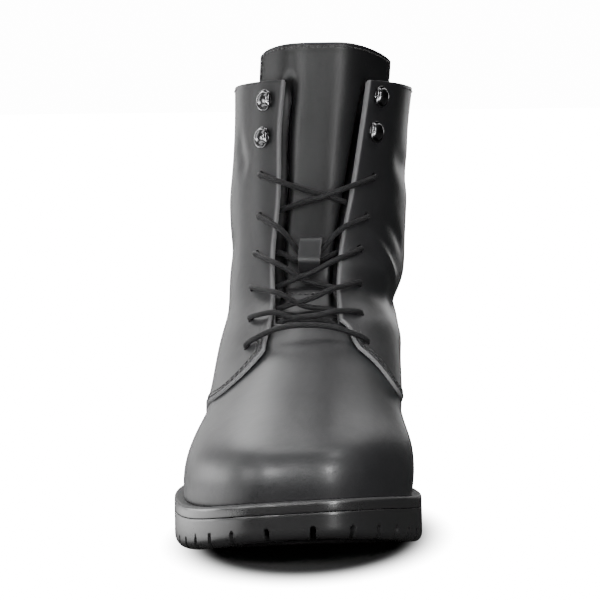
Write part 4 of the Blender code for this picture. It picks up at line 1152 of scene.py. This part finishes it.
def half_lace(side):
    """From the middle of the lowest bar into its hole and up, ending inside the top hole."""
    (start, start_level), (end, end_level) = HOLES[LATERAL, 0], HOLES[MEDIAL, 0]
    points = []
    for t in np.linspace(0.5, 0.08 if side == LATERAL else 0.92, 7):
        arch = math.sin(math.pi * t)
        level = start_level + (end_level - start_level) * t + BAR_RISE * arch
        points.append(lifted(start + (end - start) * t, level, OVER + BAR_STAND + BAR_ARCH * arch))
    row = 0
    while row < len(EYELETS) - 1:
        points += lace_dive(row, side)
        points += strand(row, side, side == LATERAL)
        side, row = -side, row + 1
    return points + lace_dive(row, side)


HELD_NEAR = (3.0, 9.0)                    # a lace is held up to here from a hole, and free from there on


def eased(path, holes, step=0.5, rounds=90):
    """The path with its small bends drawn out, but held where it goes through the holes."""
    line = resample(path, step)
    away = np.min([np.linalg.norm(line - hole, axis=1) for hole in holes], axis=0)
    ease = 0.5 * ramp(away, *HELD_NEAR)[1:-1, None]
    for _ in range(rounds):
        line[1:-1] += ease * ((line[:-2] + line[2:]) / 2 - line[1:-1])
    return line


def make_laces():
    """One lace from end to end, through all the holes."""
    lateral, medial = half_lace(LATERAL), half_lace(MEDIAL)
    path = eased(np.array(lateral[:0:-1] + medial), [last_point(*place) for place in HOLES.values()])
    piece, length = cord_mesh("lace", path, sizes().lace / MM / 2, finish_of("braided_lace"), sides=14)
    print(f"lace {length:.0f} mm")
    dress(piece, "lace", "lace_bar", *(f"lace_cross_{row + 1}" for row in range(len(EYELETS) - 1)))


# ---------------------------------------------------------------- hooks

HOOK_PLATE = 0.9
# the hook's bent strip: towards the throat, out from the leather, half width, how far its sides turn in
HOOK_STRIP = np.array([
    (-1.5, 0.50, 3.0, 0.0), (2.6, 0.50, 3.3, 0.0), (5.0, 1.0, 3.6, 0.0), (6.0, 2.0, 3.8, 0.1),
    (5.8, 3.0, 3.5, 0.3), (4.8, 3.8, 3.2, 0.6), (3.2, 4.2, 3.7, 1.1), (1.6, 4.2, 4.1, 1.4),
    (0.0, 3.8, 3.8, 1.4), (-1.3, 3.1, 2.6, 0.9), (-1.8, 2.7, 1.1, 0.2),
])
HOOD_THICKNESS = 1.0


def hook_plate():
    """Rings of the turned plate on which a hook stands."""
    radius = sizes().hook_radius / MM
    profile = np.array([
        (0.2, 0.0), (radius, 0.0), (radius + 0.02, 0.35), (radius - 0.3, 0.75),
        (radius - 0.9, HOOK_PLATE), (radius - 1.5, HOOK_PLATE - 0.1), (0.2, HOOK_PLATE - 0.1)])
    turn = round_turn(40)
    flat = [profile[:, None, 0] * wave(turn) for wave in (np.cos, np.sin)]
    return np.stack(np.broadcast_arrays(*flat, profile[:, None, 1]), -1)


def hook_strip():
    """Rings of the strip that rises from the plate and bends back over it."""
    stations = np.linspace(0, len(HOOK_STRIP) - 1, 44)
    x, z, half, drop = (spline(range(len(HOOK_STRIP)), column)(stations) for column in HOOK_STRIP.T)
    ahead = unit(np.gradient(np.stack([x, z], 1), axis=0))
    wide, thick = np.cos(round_turn(28)), np.sin(round_turn(28))
    flat = np.sign(wide) * np.abs(wide) ** 0.75
    ends = np.minimum(stations, len(HOOK_STRIP) - 1 - stations)
    taper = np.clip(ends / 0.35, 0.25, 1)[:, None] ** 0.5
    away = HOOD_THICKNESS / 2 * thick * taper + drop[:, None] * flat ** 2
    side = half[:, None] * flat * taper ** 0.5
    return np.stack([x[:, None] - ahead[:, 1:] * away, side, z[:, None] + ahead[:, :1] * away], -1)


def make_hooks():
    """The four speed hooks."""
    for (side, name), place in HOOK_PLACES.items():
        stand = OVERLAY + float(quarter_lift(place[1])) + 0.06
        matrix = np.array(spot_frame(side, place, stand))
        side_name = "medial" if side == MEDIAL else "lateral"
        pile = Pile()
        pile.add(hook_plate())
        pile.add(hook_strip())
        piece = pile.mesh(f"{side_name}_{name}_hook", finish_of("dark_nickel"),
                          place=lambda points, matrix=matrix: points * MM @ matrix[:3, :3].T + matrix[:3, 3])
        dress(piece, "hook_metal", f"hook_{side_name}_{name}")


# ---------------------------------------------------------------- stitching

def seam_distances():
    inset_mm, spacing = sizes().seam_inset / MM, sizes().seam_spacing / MM
    return inset_mm, inset_mm + spacing


def beside(place, vector_of):
    """Places (angle, level) moved over the last by a vector in mm, found by three Newton steps."""
    angle, level = place
    target = last_point(angle, level) + vector_of(angle, level)
    step = 0.01
    for _ in range(3):
        gap = target - last_point(angle, level)
        by_angle = (last_point(angle + step, level) - last_point(angle - step, level)) / (2 * step)
        by_level = (last_point(angle, level + step) - last_point(angle, level - step)) / (2 * step)
        aa, bb, ab = ((u * v).sum(-1) for u, v in (
            (by_angle, by_angle), (by_level, by_level), (by_angle, by_level)))
        ag, bg = ((along * gap).sum(-1) for along in (by_angle, by_level))
        whole = aa * bb - ab ** 2
        angle, level = angle + (ag * bb - bg * ab) / whole, level + (bg * aa - ag * ab) / whole
    return angle, level


def edge_seam(side, distance):
    """(angle, level) along a seam that runs beside the quarter's front edge."""
    level = np.linspace(0.12, SEAM_TOP, 400)

    def inwards(a, l):
        path = last_point(a, l)
        aside = unit(np.cross(last_normal(a, l), unit(np.gradient(path, axis=0))))
        back = last_point(a + side * 0.02, l) - path
        return aside * np.sign((aside * back).sum(-1, keepdims=True)) * distance

    return beside((-side * front_edge(level, side), level), inwards)


def back_seam(offset):
    """(angle, level) up the heel's back, this far across from the rings' own ends."""
    side = -1 if offset < 0 else 1
    levels, angles = np.linspace(0.2, 10.6, 300), np.linspace(0, 0.5, 120)
    found = []
    for level in levels:
        across = np.abs(last_point(-side * angles, level)[:, 1] - last_point(0.0, level)[1])
        found.append(-side * np.interp(abs(offset), across, angles))
    return np.array(found), levels


STITCH_PROBE = 0.4                        # a stitch's direction is taken this far to both sides


def stitch_line(line, face, skip=(), place_of=lambda *place: place):
    """(points, directions, outward) of stitches spaced evenly along a line on a face.

    The line is a pair of coordinates on the face, and place_of turns them into (angle, level).
    No stitch lies within the radius of a spot to skip."""
    along = lengths_along(face(*line))
    count = int(along[-1] / (sizes().stitch_pitch / MM))
    middles = (np.arange(count) + 0.5) * along[-1] / count
    before, at, after = ([np.interp(middles + move, along, values) for values in line]
                         for move in (-STITCH_PROBE, 0.0, STITCH_PROBE))
    here, ahead, outward = face(*at), unit(face(*after) - face(*before)), last_normal(*place_of(*at))
    outward = unit(outward - ahead * (outward * ahead).sum(-1, keepdims=True))
    keep = np.ones(count, bool)
    for spot, radius in skip:
        keep &= np.linalg.norm(here - spot, axis=1) > radius
    return here[keep], ahead[keep], outward[keep]


STITCH_STATIONS = np.array([-1.0, -0.9, -0.55, 0.0, 0.55, 0.9, 1.0])    # along a stitch from its middle
STITCH_SWELL = np.array([0.25, 0.75, 0.97, 1.0, 0.97, 0.75, 0.25])
STITCH_SHARE = 0.80                       # a stitch's length as a share of the pitch
STITCH_RISE, STITCH_SINK = 0.18, 0.42     # how far its middle stands out and its ends sink, in threads


def stitch_mesh(name, lines):
    """All the stitches of the lines as one mesh of small rounded threads."""
    thread = sizes().thread / MM
    reach = STITCH_STATIONS * sizes().stitch_pitch / MM * STITCH_SHARE / 2
    rise = (STITCH_RISE - STITCH_SINK * np.abs(STITCH_STATIONS) ** 3) * thread
    turn, count = round_turn(8), 0
    pile = Pile()
    for here, ahead, outward in lines:
        count += len(here)
        for centre, forward, out, aside in zip(here, ahead, outward, np.cross(ahead, outward)):
            spine = centre + forward * reach[:, None] + out * rise[:, None]
            pile.add(spine[:, None] + spokes(turn, aside, out) * (STITCH_SWELL * thread / 2)[:, None, None])
    dress(pile.mesh(name, finish_of("waxed_thread"), uv=np.tile(tube_uv(reach, turn), (count, 1)), sharp=80),
          "leather")


COLLAR_SEAM_DROP, COLLAR_SEAM_END = 0.07, 1.9     # in levels under the edge, and its angle from the heel
BACK_SEAM = 3.4                           # from the middle of the heel's back
HOLE_KEEP, HOOK_KEEP = 3.2, 0.6           # no stitch this near a hole's middle or a hook's edge
TONGUE_SEAM, TONGUE_SEAM_LEVELS = 1.5, (6.2, 11.7)    # in from the tongue's side edges, and how far up them
TONGUE_SEAM_DROP = 0.075                  # in levels under its top edge
PATCH_SEAM_HALF, PATCH_SEAM_DROP = 0.78, 0.14         # share of the width, and levels under the edge


def make_stitching():
    hook_keep = sizes().hook_radius / MM + HOOK_KEEP
    near_spots = [(quarter_face(*place), HOLE_KEEP) for place in HOLES.values()]
    near_spots += [(quarter_face(*place), hook_keep) for place in HOOK_PLACES.values()]
    for side, name in ((LATERAL, "lateral"), (MEDIAL, "medial")):
        stitch_mesh(f"{name}_edge_seams", [stitch_line(edge_seam(side, distance), quarter_face, near_spots)
                                           for distance in seam_distances()])
    round_collar = np.linspace(-COLLAR_SEAM_END, COLLAR_SEAM_END, 500)
    collar = round_collar, np.full(len(round_collar), COLLAR_LEVEL - COLLAR_SEAM_DROP)
    stitch_mesh("collar_seams", [stitch_line(collar, quarter_face)])
    stitch_mesh("back_seams", [stitch_line(back_seam(offset), quarter_face)
                               for offset in (-BACK_SEAM, BACK_SEAM)])
    up = np.linspace(*TONGUE_SEAM_LEVELS, 200)
    level = np.concatenate([up, np.full(120, TONGUE_TOP), up[::-1]])
    aside = np.concatenate([np.full(200, -1.0), np.linspace(-0.95, 0.95, 120), np.full(200, 1.0)])
    limit = 1 - TONGUE_SEAM / TONGUE_HALF(level)
    round_edge = np.clip(aside, -limit, limit), np.minimum(level, TONGUE_TOP - TONGUE_SEAM_DROP)
    across = (np.linspace(-PATCH_SEAM_HALF, PATCH_SEAM_HALF, 120),
              np.full(120, TONGUE_STEP[1] - PATCH_SEAM_DROP))
    stitch_mesh("tongue_seams", [
        stitch_line(round_edge, tongue_face, place_of=tongue_place),
        stitch_line(across, lambda *place: tongue_face(*place, TONGUE_LAYER), place_of=tongue_place)])


# ---------------------------------------------------------------- sole

EDGE_LUG_LENGTH, LUG_DEPTH, GROOVE_WIDTH = 11.0, 5.0, 4.0
NOTCH_WIDTH, NOTCH_HEIGHT = 2.6, 6.0
TOE_NOTCHES = (10.0, 28.0, 43.5, 57.0)    # from the toe's tip along the edge
SIDE_PITCH, NOTCH_SHIFT = 12.5, 2.2
NOTCH_CLEAR = 3.0                         # no notch this near a step of the tread
STEP_HALF = 0.12                          # half the run of such a step
CROSS_GROOVES = (22.0, 42.0, 62.0, 178.0, 198.0, 218.0, 238.0, 258.0, 276.0)
# the grooves across: their width, how much shallower they are, and their space to the edge lugs
CROSS_WIDTH, CROSS_SHALLOWER, CROSS_SPACE = 3.4, 0.6, 1.5
GROOVE_SOFT = 0.7                         # the rounding between their sides and floor
RING_SPACE = 14.0                         # the ring grooves end this far from the waist
CUT_BELOW = 4.0                           # cutters reach this far under the tread
# (inwards, share of its height)
MIDSOLE_PROFILE = ((2.4, 0.01), (1.2, 0.0), (0.16, 0.0), (0.07, 0.02), (0.04, 0.08), (0.04, 0.30),
                   (0.04, 0.62), (0.14, 0.85), (0.40, 0.95), (0.95, 1.0), (1.7, 1.0), (3.0, 0.94))
# (inwards, over the tread), then (inwards, under the outsole's top)
OUTSOLE_PROFILE = ((4.5, 0.0), (2.6, 0.05), (1.6, 0.5), (0.7, 1.5), (0.15, 2.8), (0.0, 4.2))
OUTSOLE_RIM = ((0.0, 2.4), (0.0, 1.3), (0.0, 0.2), (0.05, 0.05), (0.2, 0.0), (4.5, 0.0))


def outline(points):
    """The sole's outline with even steps, as (s, x)."""
    loop = sole_loop(900)
    closed = np.concatenate([loop, loop[:1]])
    along = lengths_along(closed)
    at = np.linspace(0, along[-1], points, endpoint=False)
    return np.stack([np.interp(at, along, closed[:, axis]) for axis in (0, 1)], 1)


def smooth_inset(loop, distance):
    """The loop moved inwards, with its normals taken over a few steps."""
    reach = 3
    along = unit(np.roll(loop, -reach, 0) - np.roll(loop, reach, 0))
    return loop - distance * np.stack([along[:, 1], -along[:, 0]], 1)


def stacked_solid(name, loops, finish, **more):
    """A closed solid from stacked loops of points, capped at both ends by strips across."""
    rows, count = len(loops), len(loops[0])
    faces = grid_faces(rows, count, closed=True).tolist()
    last = (rows - 1) * count
    for first in (0, last):
        for i in range(count // 2):
            strip = dict.fromkeys((i, i + 1, count - i - 1, (count - i) % count))
            if len(strip) > 2:
                faces.append([first + corner for corner in strip])
    return mesh_object(name, to_world(np.concatenate(loops)), faces, finish, **more)


def with_height(loop, height):
    return np.concatenate([loop, np.broadcast_to(height, len(loop))[:, None]], 1)


def step_stations(loop):
    """The loop with close stations at the tread's two steps, so that they are sheer."""
    moved = loop.copy()
    for side in (LATERAL, MEDIAL):
        on_side = np.flatnonzero(np.sign(loop[:, 1] - SOLE_CENTRE(loop[:, 0] / SOLE_LENGTH)) == side)
        line = loop[on_side[np.argsort(loop[on_side, 0])]]
        for step in (HEEL_BREAST, FORE_FLAT[0]):
            order = on_side[np.argsort(np.abs(loop[on_side, 0] - step))[:2]]
            for index, target in zip(order[np.argsort(loop[order, 0])], (step - STEP_HALF, step + STEP_HALF)):
                moved[index] = target, np.interp(target, line[:, 0], line[:, 1])
    return moved


def edge_places(side, distances, from_toe):
    """Places (point, outward) on one side's edge, at distances along it from the toe or the heel."""
    angle = np.linspace(0, math.pi, 700)
    line = np.stack(sole_edge(angle, side), 1)[::-1 if from_toe else 1]
    along = lengths_along(line)
    found = []
    for distance in distances:
        point, ahead = (np.array([np.interp(distance + step, along, line[:, axis]) for axis in (0, 1)])
                        for step in (0, 1))
        s, x = unit(ahead - point)
        outward = np.array([-x, s])
        found.append((point, outward * math.copysign(1, outward[1] * side)))
    return found


def prism(pile, section, half_length, middle, along, across):
    """Adds a prism to a pile: a closed section (across, up) carried both ways from its middle."""
    flat, height = np.array(middle[:2]), middle[2]
    pile.add(np.array([[(*(flat + along * distance + across * aside), height + up) for aside, up in section]
                       for distance in (-half_length, half_length)]))


def notch_section(width, height):
    """Corners (across, up) of sheer sides and a round top."""
    radius = width / 2
    top = [(radius * math.cos(a), height - radius + radius * math.sin(a)) for a in np.linspace(0, math.pi, 9)]
    return [(-radius, -CUT_BELOW), (radius, -CUT_BELOW), *top]


def groove_section(width, height):
    """Corners (across, up) of sheer sides and a flat top that is softly rounded into them."""
    half, base = width / 2, height - GROOVE_SOFT
    corners = [(-half, -CUT_BELOW), (half, -CUT_BELOW), (half, base)]
    corners += [(half - GROOVE_SOFT * (1 - math.cos(a)), base + GROOVE_SOFT * math.sin(a))
                for a in np.linspace(0.3, math.pi / 2, 4)]
    return corners + [(-x, z) for x, z in corners[:1:-1]]


def notch_cutters(pile):
    """The notches of the edge lugs."""
    along_side = np.arange(TOE_NOTCHES[-1] + SIDE_PITCH, SOLE_LENGTH, SIDE_PITCH)
    round_heel = np.arange(SIDE_PITCH / 2, SOLE_LENGTH, SIDE_PITCH)
    section = notch_section(NOTCH_WIDTH, NOTCH_HEIGHT)
    for side in (LATERAL, MEDIAL):
        from_toe = np.array([*TOE_NOTCHES, *along_side]) - NOTCH_SHIFT * side
        places = [place for place in edge_places(side, from_toe, True)
                  if place[0][0] > FORE_FLAT[0] + NOTCH_CLEAR]
        places += [place for place in edge_places(side, round_heel, False)
                   if place[0][0] < HEEL_BREAST - NOTCH_CLEAR]
        for point, outward in places:
            middle = (*point, float(tread_height(point[0])))
            prism(pile, section, EDGE_LUG_LENGTH, middle, outward, np.array([-outward[1], outward[0]]))


def cross_cutters(pile):
    """The grooves across the tread."""
    section = groove_section(CROSS_WIDTH, LUG_DEPTH - CROSS_SHALLOWER)
    lengthwise, crosswise = np.eye(2)
    for s in CROSS_GROOVES:
        share = s / SOLE_LENGTH
        half = float(SOLE_HALF(share) * rounded(math.acos(1 - 2 * share), HEEL_ROUNDING, TOE_ROUNDING))
        middle = (s, float(SOLE_CENTRE(share)), float(tread_height(s)))
        prism(pile, section, half - EDGE_LUG_LENGTH - CROSS_SPACE, middle, crosswise, lengthwise)


def ring_cutters(pile):
    """The grooves that part the edge lugs from those in the middle, under heel and forepart."""
    loop = outline(360)
    outer, inner = smooth_inset(loop, EDGE_LUG_LENGTH), smooth_inset(loop, EDGE_LUG_LENGTH + GROOVE_WIDTH)
    section = ((outer, -CUT_BELOW), (outer, LUG_DEPTH), (inner, LUG_DEPTH), (inner, -CUT_BELOW))
    for keep in (loop[:, 0] < HEEL_BREAST - RING_SPACE, loop[:, 0] > FORE_FLAT[0] + RING_SPACE):
        first = int(np.flatnonzero(keep & ~np.roll(keep, 1))[0])
        order = (first + np.arange(keep.sum())) % len(keep)
        floor = tread_height(loop[order, 0])
        pile.add(np.stack([with_height(line[order], floor + rise) for line, rise in section], 1))


def make_outsole():
    """The outsole with its tread cut into it."""
    loop = step_stations(outline(720))
    tread, top = tread_height(loop[:, 0]), OUTSOLE_TOP(loop[:, 0])
    loops = [with_height(smooth_inset(loop, inwards), tread + rise) for inwards, rise in OUTSOLE_PROFILE]
    below, above = tread + OUTSOLE_PROFILE[-1][1], top - OUTSOLE_RIM[0][1]
    loops += [with_height(loop, below + (above - below) * share) for share in (0.25, 0.5, 0.75)]
    loops += [with_height(smooth_inset(loop, inwards), top - drop) for inwards, drop in OUTSOLE_RIM]
    piece = stacked_solid("outsole_rubber", loops, finish_of("black_rubber"), sharp=50)
    for add_cutters in (ring_cutters, cross_cutters, notch_cutters):
        pile = Pile()
        add_cutters(pile)
        cut(piece, pile.mesh(add_cutters.__name__, finish_of("black_rubber")))
    dress(piece, "rubber", "outsole")


def make_welt():
    """The midsole with its rounded edge, which shows as the welt."""
    loop = outline(720)
    base = OUTSOLE_TOP(loop[:, 0]) + GAP
    loops = [with_height(smooth_inset(loop, inwards), base + share * MIDSOLE_THICKNESS)
             for inwards, share in MIDSOLE_PROFILE]
    dress(stacked_solid("welt", loops, finish_of("black_rubber"), sharp=60), "rubber", "midsole")


FOOTBED_THICKNESS, FOOTBED_INSET = 3.6, VAMP_WALL + 0.9
# (inwards, share of its thickness), from its underside over the cupped rim to the flat
FOOTBED_PROFILE = ((0.0, 0.0), (0.0, 0.55), (0.05, 0.85), (0.20, 1.0), (0.45, 0.92), (1.0, 0.62),
                   (2.2, 0.42), (4.5, 0.30), (8.0, 0.25))


def make_footbed():
    """The footbed, cupped at the heel and round the waist."""
    loop = last_point(round_turn(240), 0.0)[:, :2]
    edge = smooth_inset(loop, FOOTBED_INSET)
    base = midsole_top(edge[:, 0]) + 2 * GAP
    rows = [with_height(smooth_inset(loop, FOOTBED_INSET + inwards), base + share * FOOTBED_THICKNESS)
            for inwards, share in FOOTBED_PROFILE]
    centre = np.stack([edge[:, 0], SOLE_CENTRE(edge[:, 0] / SOLE_LENGTH)], 1)
    flat = rows[-1][:, :2]
    rows += [with_height(flat + (centre - flat) * share, rows[-1][:, 2]) for share in (0.25, 0.5, 0.75)]
    dress(stacked_solid("footbed", rows, finish_of("footbed_cloth"), sharp=50), "insole", "insole")


# ---------------------------------------------------------------- stage

def aim_object(made, position, target, roll=0.0):
    """Puts a camera or light at a position, pointing at its target."""
    way = Vector(target) - Vector(position)
    made.location, made.rotation_mode = position, "QUATERNION"
    made.rotation_quaternion = way.to_track_quat("-Z", "Y") @ Quaternion((0, 0, 1), roll)


CAMERA_PLACE = (0.0944, -1.3883, 0.2350)
CAMERA_AIM = (0.0010, -0.0500, 0.1069)
CAMERA_ROLL = -0.014


def make_camera():
    data = bpy.data.cameras.new("studio_camera")
    data.lens = sizes().lens_mm
    data.sensor_width = 36.0
    data.dof.use_dof = False
    data.clip_start, data.clip_end = 0.05, 50.0
    camera = new_object("studio_camera", data)
    aim_object(camera, CAMERA_PLACE, CAMERA_AIM, CAMERA_ROLL)
    bpy.context.scene.camera = camera


# a softbox: where it hangs seen from the boot (degrees round from the front towards the medial side,
# degrees up, and metres away), its size, how bright its face is and what it points at
Softbox = namedtuple("Softbox", "name round up away width height brightness aim",
                     defaults=((0.0, 0.0, 0.10),))
SOFTBOXES = (
    Softbox("front_left", -26, 26, 1.6, 0.18, 0.34, 26.0),
    Softbox("front_right", 34, 24, 1.6, 0.18, 0.36, 21.0),
    Softbox("toe_cap_left", -24, 22, 0.36, 0.10, 0.07, 54.0, (0.0, -0.13, 0.05)),
    Softbox("toe_cap_right", 39, 20, 0.36, 0.08, 0.07, 62.0, (0.0, -0.13, 0.05)),
    Softbox("toe_side", -70, 14, 0.50, 0.24, 0.18, 9.5, (0.0, -0.12, 0.05)),
    Softbox("fill_left", -60, 50, 1.5, 0.80, 0.50, 3.0),
    Softbox("fill_right", 75, 58, 1.5, 0.50, 0.40, 12.0),
    Softbox("sole_left", -118, 2, 0.66, 0.36, 0.14, 9.0, (0.0, -0.08, 0.03)),
    Softbox("sole_right", 38, 2, 0.70, 0.10, 0.16, 26.0, (0.0, -0.12, 0.02)),
    Softbox("left_low", -112, 15, 1.6, 0.40, 1.20, 3.0),
    Softbox("back_left", -150, 15, 1.6, 0.38, 1.20, 3.2),
    Softbox("high_left", -146, 38, 1.6, 0.60, 0.60, 4.6),
    Softbox("top_left", -140, 65, 1.5, 0.50, 0.40, 7.0),
    Softbox("overhead", 0, 96, 1.4, 1.20, 0.22, 7.0),
    Softbox("back_high", -168, 42, 1.6, 1.20, 0.40, 5.0),
    Softbox("behind", 180, 12, 1.6, 1.20, 0.80, 2.4),
    Softbox("high_right", 150, 40, 1.6, 0.50, 0.60, 2.0),
    Softbox("right_edge", 165, 15, 1.6, 0.20, 1.20, 2.4),
)
FLOOR_SIZE = 12.0
WHITE = 18.0                              # brightness of floor and wall that reads as pure white
# patches on the floor, as their middle and half sizes: the painted shadows under forepart and heel, and the
# painted pool of light that the sole reflects
TOE_PAINTED_SHADOW, HEEL_PAINTED_SHADOW = (0.004, -0.060, 0.060, 0.111), (0.0, 0.095, 0.042, 0.064)
PAINTED_POOL, PAINTED_POOL_BRIGHTNESS = (-0.21, -0.07, 0.16, 0.17), 2.6
# where each patch begins and ends to fade, as squares of a share of its half sizes
TOE_PAINTED_SHADOW_RAMP, HEEL_PAINTED_SHADOW_RAMP, PAINTED_POOL_RAMP = (0.48, 1.36), (0.5, 1.4), (0.25, 1.0)
ROOM_RAMP, ROOM_STRENGTH = (-0.9, 0.6), (0.10, 0.01)    # from left to right


def make_lights():
    """The softboxes, which the camera doesn't see."""
    for box in SOFTBOXES:
        data = bpy.data.lights.new(box.name, "AREA")
        data.shape, data.size, data.size_y = "RECTANGLE", box.width, box.height
        data.energy = box.brightness * math.pi * box.width * box.height
        light = new_object(box.name, data)
        turn, rise = math.radians(box.round), math.radians(box.up)
        way = Vector((math.cos(rise) * math.sin(turn), -math.cos(rise) * math.cos(turn), math.sin(rise)))
        aim_object(light, Vector(box.aim) + way * box.away, box.aim)
        light.visible_camera = False


def make_floor():
    """A white floor with painted shadows where the boot stands on it, and a painted pool of light that the
    camera doesn't see but the sole reflects.
    """
    builder = bmesh.new()
    bmesh.ops.create_grid(builder, x_segments=8, y_segments=8, size=FLOOR_SIZE / 2)
    floor = new_object("studio_floor", new_mesh("studio_floor", builder))
    finish = Finish("studio_floor", Emission_Strength=WHITE, Roughness=0.9, Specular_IOR_Level=0.0)
    x, y = (finish.axis(finish.place(), number) for number in (0, 1))

    def outside(patch, ramp):
        middle_x, middle_y, half_x, half_y = patch
        return (((x - middle_x) / half_x) ** 2 + ((y - middle_y) / half_y) ** 2).between(*ramp)

    # painted light: the camera sees white emission darkened by the painted shadows, other rays see only the
    # painted pool of light
    seen = finish.node("ShaderNodeLightPath", output="Is Camera Ray")
    pool_of_painted_light = (1 - outside(PAINTED_POOL, PAINTED_POOL_RAMP)) * (PAINTED_POOL_BRIGHTNESS / WHITE)
    unshadowed = (outside(TOE_PAINTED_SHADOW, TOE_PAINTED_SHADOW_RAMP) * outside(HEEL_PAINTED_SHADOW, HEEL_PAINTED_SHADOW_RAMP)) ** 2
    white_with_painted_light = seen * unshadowed + (1 - seen) * pool_of_painted_light
    painted_floor_emission = finish.node("ShaderNodeCombineXYZ", None, {0: white_with_painted_light, 1: white_with_painted_light, 2: white_with_painted_light})
    floor.data.materials.append(finish.feed(Base_Color=colours().floor, Emission_Color=painted_floor_emission))
    floor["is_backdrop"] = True


def make_world():
    """A dim room, a little brighter on the left, before a white wall."""
    world = bpy.data.worlds.new("studio")
    bpy.context.scene.world = world
    world.use_nodes = True
    world.node_tree.nodes.clear()
    nodes = Nodes(world.node_tree)
    seen = nodes.node("ShaderNodeLightPath", output="Is Camera Ray")
    across = nodes.axis(nodes.node("ShaderNodeTexCoord", output="Generated"), 0)
    room, wall = (nodes.node("ShaderNodeBackground", None, {"Strength": strength})
                  for strength in (across.between(*ROOM_RAMP, *ROOM_STRENGTH), WHITE))
    either = nodes.node("ShaderNodeMixShader", None, {0: seen, 1: room, 2: wall})
    nodes.node("ShaderNodeOutputWorld", None, {"Surface": either})


def make_stage():
    make_camera()
    make_floor()
    make_world()
    make_lights()


# ---------------------------------------------------------------- operators and panel

class BootStep:
    """What every step of the boot shares: it builds, or raises."""
    bl_options = {"REGISTER", "UNDO"}
    steps = ()

    def execute(self, context):
        for step in self.steps:
            step()
        return {"FINISHED"}


class BOOT_OT_stage(BootStep, bpy.types.Operator):
    """Sets up the camera, the white floor and the softboxes"""
    bl_idname, bl_label = "boot.stage", "Stage"
    steps = (make_stage,)


class BOOT_OT_sole(BootStep, bpy.types.Operator):
    """Builds the lugged outsole and the welt over it"""
    bl_idname, bl_label = "boot.sole", "Sole and Welt"
    steps = (make_outsole, make_welt)


class BOOT_OT_footbed(BootStep, bpy.types.Operator):
    """Builds the cupped footbed inside the boot"""
    bl_idname, bl_label = "boot.footbed", "Footbed"
    steps = (make_footbed,)


class BOOT_OT_vamp(BootStep, bpy.types.Operator):
    """Builds the plain vamp over the toes"""
    bl_idname, bl_label = "boot.vamp", "Vamp"
    steps = (make_vamp,)


class BOOT_OT_quarters(BootStep, bpy.types.Operator):
    """Builds the quarters with their punched facings and the lining of the shaft"""
    bl_idname, bl_label = "boot.quarters", "Quarters"
    steps = (make_quarters,)


class BOOT_OT_tongue(BootStep, bpy.types.Operator):
    """Builds the tongue, its patch and the loop that keeps the laces down"""
    bl_idname, bl_label = "boot.tongue", "Tongue"
    steps = (make_tongue, make_keeper)


class BOOT_OT_stitching(BootStep, bpy.types.Operator):
    """Sews the quarters, the collar, the back seam and the tongue"""
    bl_idname, bl_label = "boot.stitching", "Stitching"
    steps = (make_stitching,)


class BOOT_OT_laces(BootStep, bpy.types.Operator):
    """Threads the lace through the holes"""
    bl_idname, bl_label = "boot.laces", "Laces"
    steps = (make_laces,)


class BOOT_OT_hooks(BootStep, bpy.types.Operator):
    """Builds the speed hooks"""
    bl_idname, bl_label = "boot.hooks", "Speed Hooks"
    steps = (make_hooks,)


STEPS = (BOOT_OT_stage, BOOT_OT_sole, BOOT_OT_footbed, BOOT_OT_vamp, BOOT_OT_quarters, BOOT_OT_tongue,
         BOOT_OT_stitching, BOOT_OT_laces, BOOT_OT_hooks)


class BOOT_PT_panel(bpy.types.Panel):
    """The boot's sizes, colours and steps"""
    bl_label, bl_idname = "Work Boot", "BOOT_PT_panel"
    bl_space_type, bl_region_type, bl_category = "VIEW_3D", "UI", "Boot"

    def draw(self, context):
        for group in (context.scene.boot_sizes, context.scene.boot_colours):
            box = self.layout.box()
            for name in group.__annotations__:
                box.prop(group, name)
        for step in STEPS:
            self.layout.operator(step.bl_idname)


CLASSES = (BootSizes, BootColours, *STEPS, BOOT_PT_panel)


def register():
    for made in CLASSES:
        bpy.utils.register_class(made)
    bpy.types.Scene.boot_sizes = PointerProperty(type=BootSizes)
    bpy.types.Scene.boot_colours = PointerProperty(type=BootColours)


def unregister():
    del bpy.types.Scene.boot_colours, bpy.types.Scene.boot_sizes
    for made in reversed(CLASSES):
        bpy.utils.unregister_class(made)


def corners(bounds):
    return [[float(value) for value in corner] for corner in bounds]


def main():
    register()
    record = {"cad": corners(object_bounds())}
    for step in STEPS:
        getattr(bpy.ops.boot, step.bl_idname.split(".")[1])()
    record["visual"] = corners(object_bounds())


if __name__ == "__main__":
    main()
